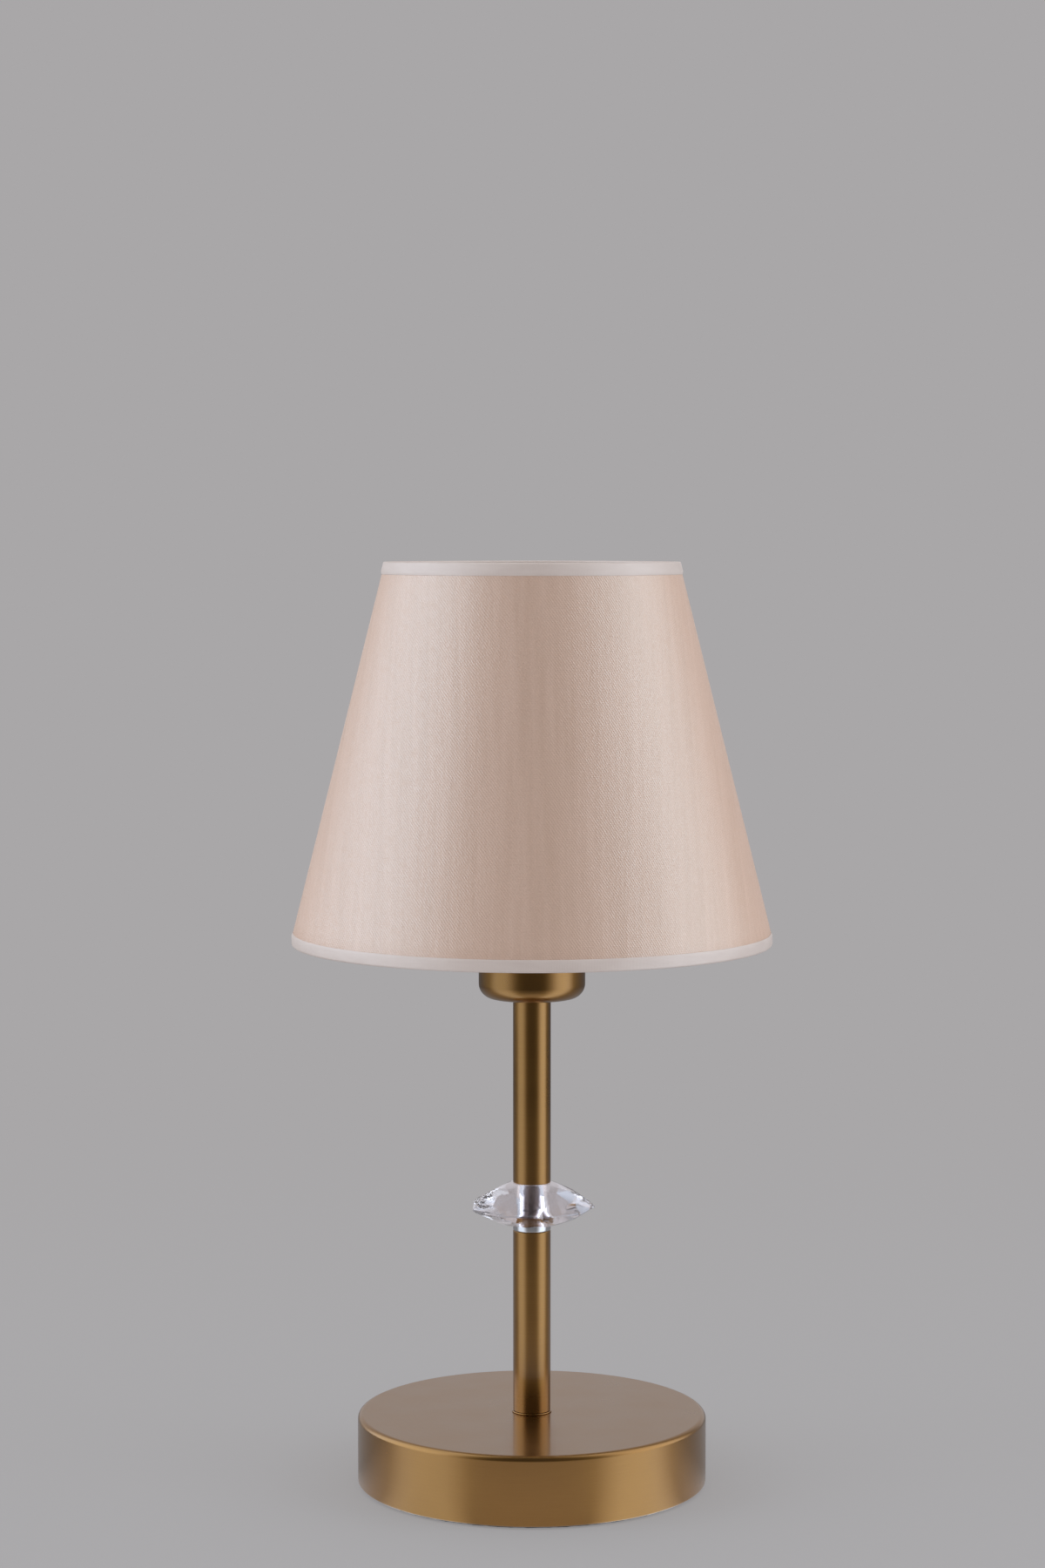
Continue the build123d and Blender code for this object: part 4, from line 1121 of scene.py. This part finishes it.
class LAMP_OT_bulb(bpy.types.Operator):
    """Model the bulb's rolled screw cap, and finish the bulb"""

    bl_idname = "lamp.bulb"
    bl_label = "Bulb"

    def execute(self, context):
        self.screw_cap()
        dress(["bulb_dome"], "opal_plastic")
        dress(["bulb_housing"], "bulb_plastic")
        dress(["bulb_tip"], "bulb_metal")
        dress(["bulb_insulator"], "black_insulator")
        return {"FINISHED"}

    def screw_cap(self):
        """The thin cap, with its thread rolled round it as one winding wave."""
        size = sizes()
        low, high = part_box("bulb_cap")
        turns = math.ceil((high.z - low.z) / size.cap_pitch) + 1
        outline = []
        for step in range(CAP_WAVE_STEPS + 1):
            share = step / CAP_WAVE_STEPS
            reach = high.x - size.cap_depth / 2 * (1 - math.cos(math.tau * share))
            outline.append((reach, low.z - size.cap_pitch + share * size.cap_pitch))
        form = bmesh.new()
        wind(form, draw_outline(form, outline, closed=False), size.cap_pitch, turns)
        bmesh.ops.remove_doubles(form, verts=form.verts, dist=WINDING_WELD)
        for height, up in ((low.z, -1), (high.z, 1)):
            bmesh.ops.bisect_plane(
                form, geom=form.verts[:] + form.edges[:] + form.faces[:], dist=WELD,
                plane_co=(0, 0, height), plane_no=(0, 0, up), clear_outer=True,
            )
        face_outwards(form)
        piece = add_piece(form, "bulb_screw_cap", BULB, "bulb_metal", ["bulb_cap"])
        thicken(piece, size.cap_sheet)


class LAMP_OT_inner_pieces(bpy.types.Operator):
    """Finish the pieces inside the base, the stem and the lampholder"""

    bl_idname = "lamp.inner_pieces"
    bl_label = "Inner pieces"

    def execute(self, context):
        dress(["ballast"], "cast_iron")
        dress(["base_washer", "lock_washer", "base_nut", "base_plate"], "zinc_steel")
        # The tie rod gets a darker steel than its zinc plating: painted shade, seen through the bead.
        dress(["tie_rod"], "rod_steel")
        dress(["centring_bushes"], "nylon")
        dress(["holder_cap", "contact_block"], "holder_plastic")
        dress(["terminal_screws", "centre_contact"], "contact_brass")
        dress(["screw_shell"], "shell_metal")
        return {"FINISHED"}


class LAMP_OT_stage(bpy.types.Operator):
    """Set up the floor, the backdrop, the softboxes and the camera"""

    bl_idname = "lamp.stage"
    bl_label = "Studio stage"

    def execute(self, context):
        stage = context.scene.lamp_stage
        self.floor(stage)
        self.world(stage)
        self.softbox(stage, -1, stage.left_softbox)
        self.softbox(stage, 1, stage.right_softbox)
        self.camera(stage)
        self.bounces(context.scene.cycles, stage.bead_bounces)
        context.scene.view_settings.view_transform = "Standard"
        return {"FINISHED"}

    def bounces(self, paths, count):
        """Let light turn back often enough to leave the bead's sharp tips."""
        paths.max_bounces = 2 * count
        paths.glossy_bounces = count
        paths.transmission_bounces = count

    def floor(self, stage):
        """A disc in the backdrop's grey that keeps the lamp's shadow. Gloss sees it glow with painted light
        from both sides and from a lit table close by.
        """
        form = bmesh.new()
        bmesh.ops.create_circle(
            form, cap_ends=True, segments=FLOOR_STEPS, radius=stage.floor_radius,
            matrix=Matrix.Translation((0, 0, -stage.floor_drop)),
        )
        floor = add_object("studio_floor", as_mesh(form, "studio_floor"))
        finish = Finish("studio_floor", {"Roughness": 1.0, "Specular IOR Level": 0.0})
        place = finish.place()
        reach = finish.distance(place)
        near = finish.between(reach, 1, 0, NEAR_FLOOR)
        albedo = finish.times(near, stage.floor_albedo)
        grey = finish.node("ShaderNodeCombineColor", {0: albedo, 1: albedo, 2: albedo}).outputs[0]
        finish.give("Base Color", grey)
        close = finish.ease(reach, 1, 0, CLOSE_FLOOR)
        beside = finish.ease(finish.split(place)["Y"], 1, stage.table_fade, BESIDE_FLOOR)
        table = finish.times(finish.times(close, beside), stage.table_glow)
        left = finish.between(reach, stage.left_floor, stage.left_far, FAR_FLOOR)
        right = finish.between(reach, stage.right_floor, stage.right_far, FAR_FLOOR)
        share, around = finish.studio_glow(
            finish.place(shift=(0, stage.floor_ahead, 0)), stage, left, right,
            stage.floor_front, stage.floor_back, stage.floor_lean, stage.floor_rear,
        )
        # Gloss rays see painted light in the floor, which has no gloss of its own: the side lights' glow,
        # and a lit table's glow close to the lamp.
        polished = finish.reckon("MAXIMUM", finish.times(around, stage.floor_shine), table)
        path = finish.node("ShaderNodeLightPath").outputs
        lit = finish.between(near, 1, stage.floor_glow, edge=(0, 1))
        lit = finish.blend(path["Is Diffuse Ray"], lit, stage.bounce)
        lit = finish.blend(path["Is Glossy Ray"], lit, polished)
        lit = finish.blend(path["Is Transmission Ray"], lit, finish.bead_view(place, stage))
        finish.give("Emission Strength", lit)
        share = finish.times(share, path["Is Glossy Ray"])
        finish.give("Emission Color", finish.mix(share, stage.backdrop, stage.side_light))
        floor.data.materials.append(finish.material)

    def world(self, stage):
        """The backdrop's grey for the camera, side lights for gloss, and soft light from all round."""
        world = bpy.data.worlds.new("studio")
        bpy.context.scene.world = world
        world.use_nodes = True
        sky = NodeTree(world.node_tree)
        path = sky.node("ShaderNodeLightPath").outputs
        where = sky.node("ShaderNodeTexCoord").outputs["Generated"]
        share, around = sky.studio_glow(
            where, stage, stage.left_glow, stage.right_glow, stage.side_front, stage.side_back,
            stage.side_lean, stage.rear_glow,
        )
        lit = sky.blend(path["Is Glossy Ray"], stage.ambient, around)
        lit = sky.blend(path["Is Transmission Ray"], lit, sky.bead_view(where, stage))
        lit = sky.blend(path["Is Camera Ray"], lit, 1.0)
        to_right = sky.between(sky.split(where)["X"], 0, 1, RIGHT_EDGE)
        side = sky.mix(to_right, stage.side_light, stage.right_light)
        share = sky.times(share, path["Is Glossy Ray"])
        background = sky.tree.nodes["Background"]
        sky.tree.links.new(sky.mix(share, stage.backdrop, side), background.inputs["Color"])
        sky.tree.links.new(lit, background.inputs["Strength"])

    def softbox(self, stage, side, brightness):
        """A tall soft light on one side of the lamp."""
        light = bpy.data.lights.new("softbox", "AREA")
        light.shape = "RECTANGLE"
        light.size = stage.softbox_width
        light.size_y = stage.softbox_height
        light.color = [part / max(stage.side_light) for part in stage.side_light]
        light.energy = brightness * math.pi * stage.softbox_width * stage.softbox_height
        box = add_object("softbox", light)
        box.location = (
            side * stage.softbox_distance * math.sin(stage.softbox_angle),
            -stage.softbox_distance * math.cos(stage.softbox_angle),
            stage.softbox_centre,
        )
        towards = Vector((0, 0, stage.softbox_centre)) - box.location
        box.rotation_euler = towards.to_track_quat("-Z", "Y").to_euler()
        box.visible_camera = False
        box.visible_glossy = False

    def camera(self, stage):
        """The camera in front of the lamp, a little above its top and looking down at it."""
        data = bpy.data.cameras.new("camera")
        data.lens = stage.camera_lens
        camera = add_object("camera", data)
        camera.location = stage.camera_place
        camera.rotation_euler = (math.pi / 2 - stage.camera_pitch, 0, 0)
        bpy.context.scene.camera = camera


OPERATORS = (
    LAMP_OT_base,
    LAMP_OT_stem,
    LAMP_OT_bead,
    LAMP_OT_lampholder,
    LAMP_OT_shade_frame,
    LAMP_OT_shade_cloth,
    LAMP_OT_bulb,
    LAMP_OT_inner_pieces,
    LAMP_OT_stage,
)


class VIEW3D_PT_lamp(bpy.types.Panel):
    """The lamp's pieces and its stage, one button each"""

    bl_idname = "VIEW3D_PT_lamp"
    bl_label = "Table lamp"
    bl_space_type = "VIEW_3D"
    bl_region_type = "UI"
    bl_category = "Lamp"

    def draw(self, context):
        for operator in OPERATORS:
            self.layout.operator(operator.bl_idname)


CLASSES = (LampSizes, LampColours, LampStage, *OPERATORS, VIEW3D_PT_lamp)


def register():
    """Register the classes and hang the settings on the scene."""
    for each in CLASSES:
        bpy.utils.register_class(each)
    bpy.types.Scene.lamp_sizes = PointerProperty(type=LampSizes)
    bpy.types.Scene.lamp_colours = PointerProperty(type=LampColours)
    bpy.types.Scene.lamp_stage = PointerProperty(type=LampStage)


def unregister():
    """Take the settings and the classes away again."""
    del bpy.types.Scene.lamp_stage
    del bpy.types.Scene.lamp_colours
    del bpy.types.Scene.lamp_sizes
    for each in reversed(CLASSES):
        bpy.utils.unregister_class(each)


def main():
    """Make every piece."""
    register()
    bpy.ops.lamp.base()
    bpy.ops.lamp.stem()
    bpy.ops.lamp.bead()
    bpy.ops.lamp.lampholder()
    bpy.ops.lamp.shade_frame()
    bpy.ops.lamp.shade_cloth()
    bpy.ops.lamp.bulb()
    bpy.ops.lamp.inner_pieces()
    bpy.ops.lamp.stage()


if __name__ == "__main__":
    main()
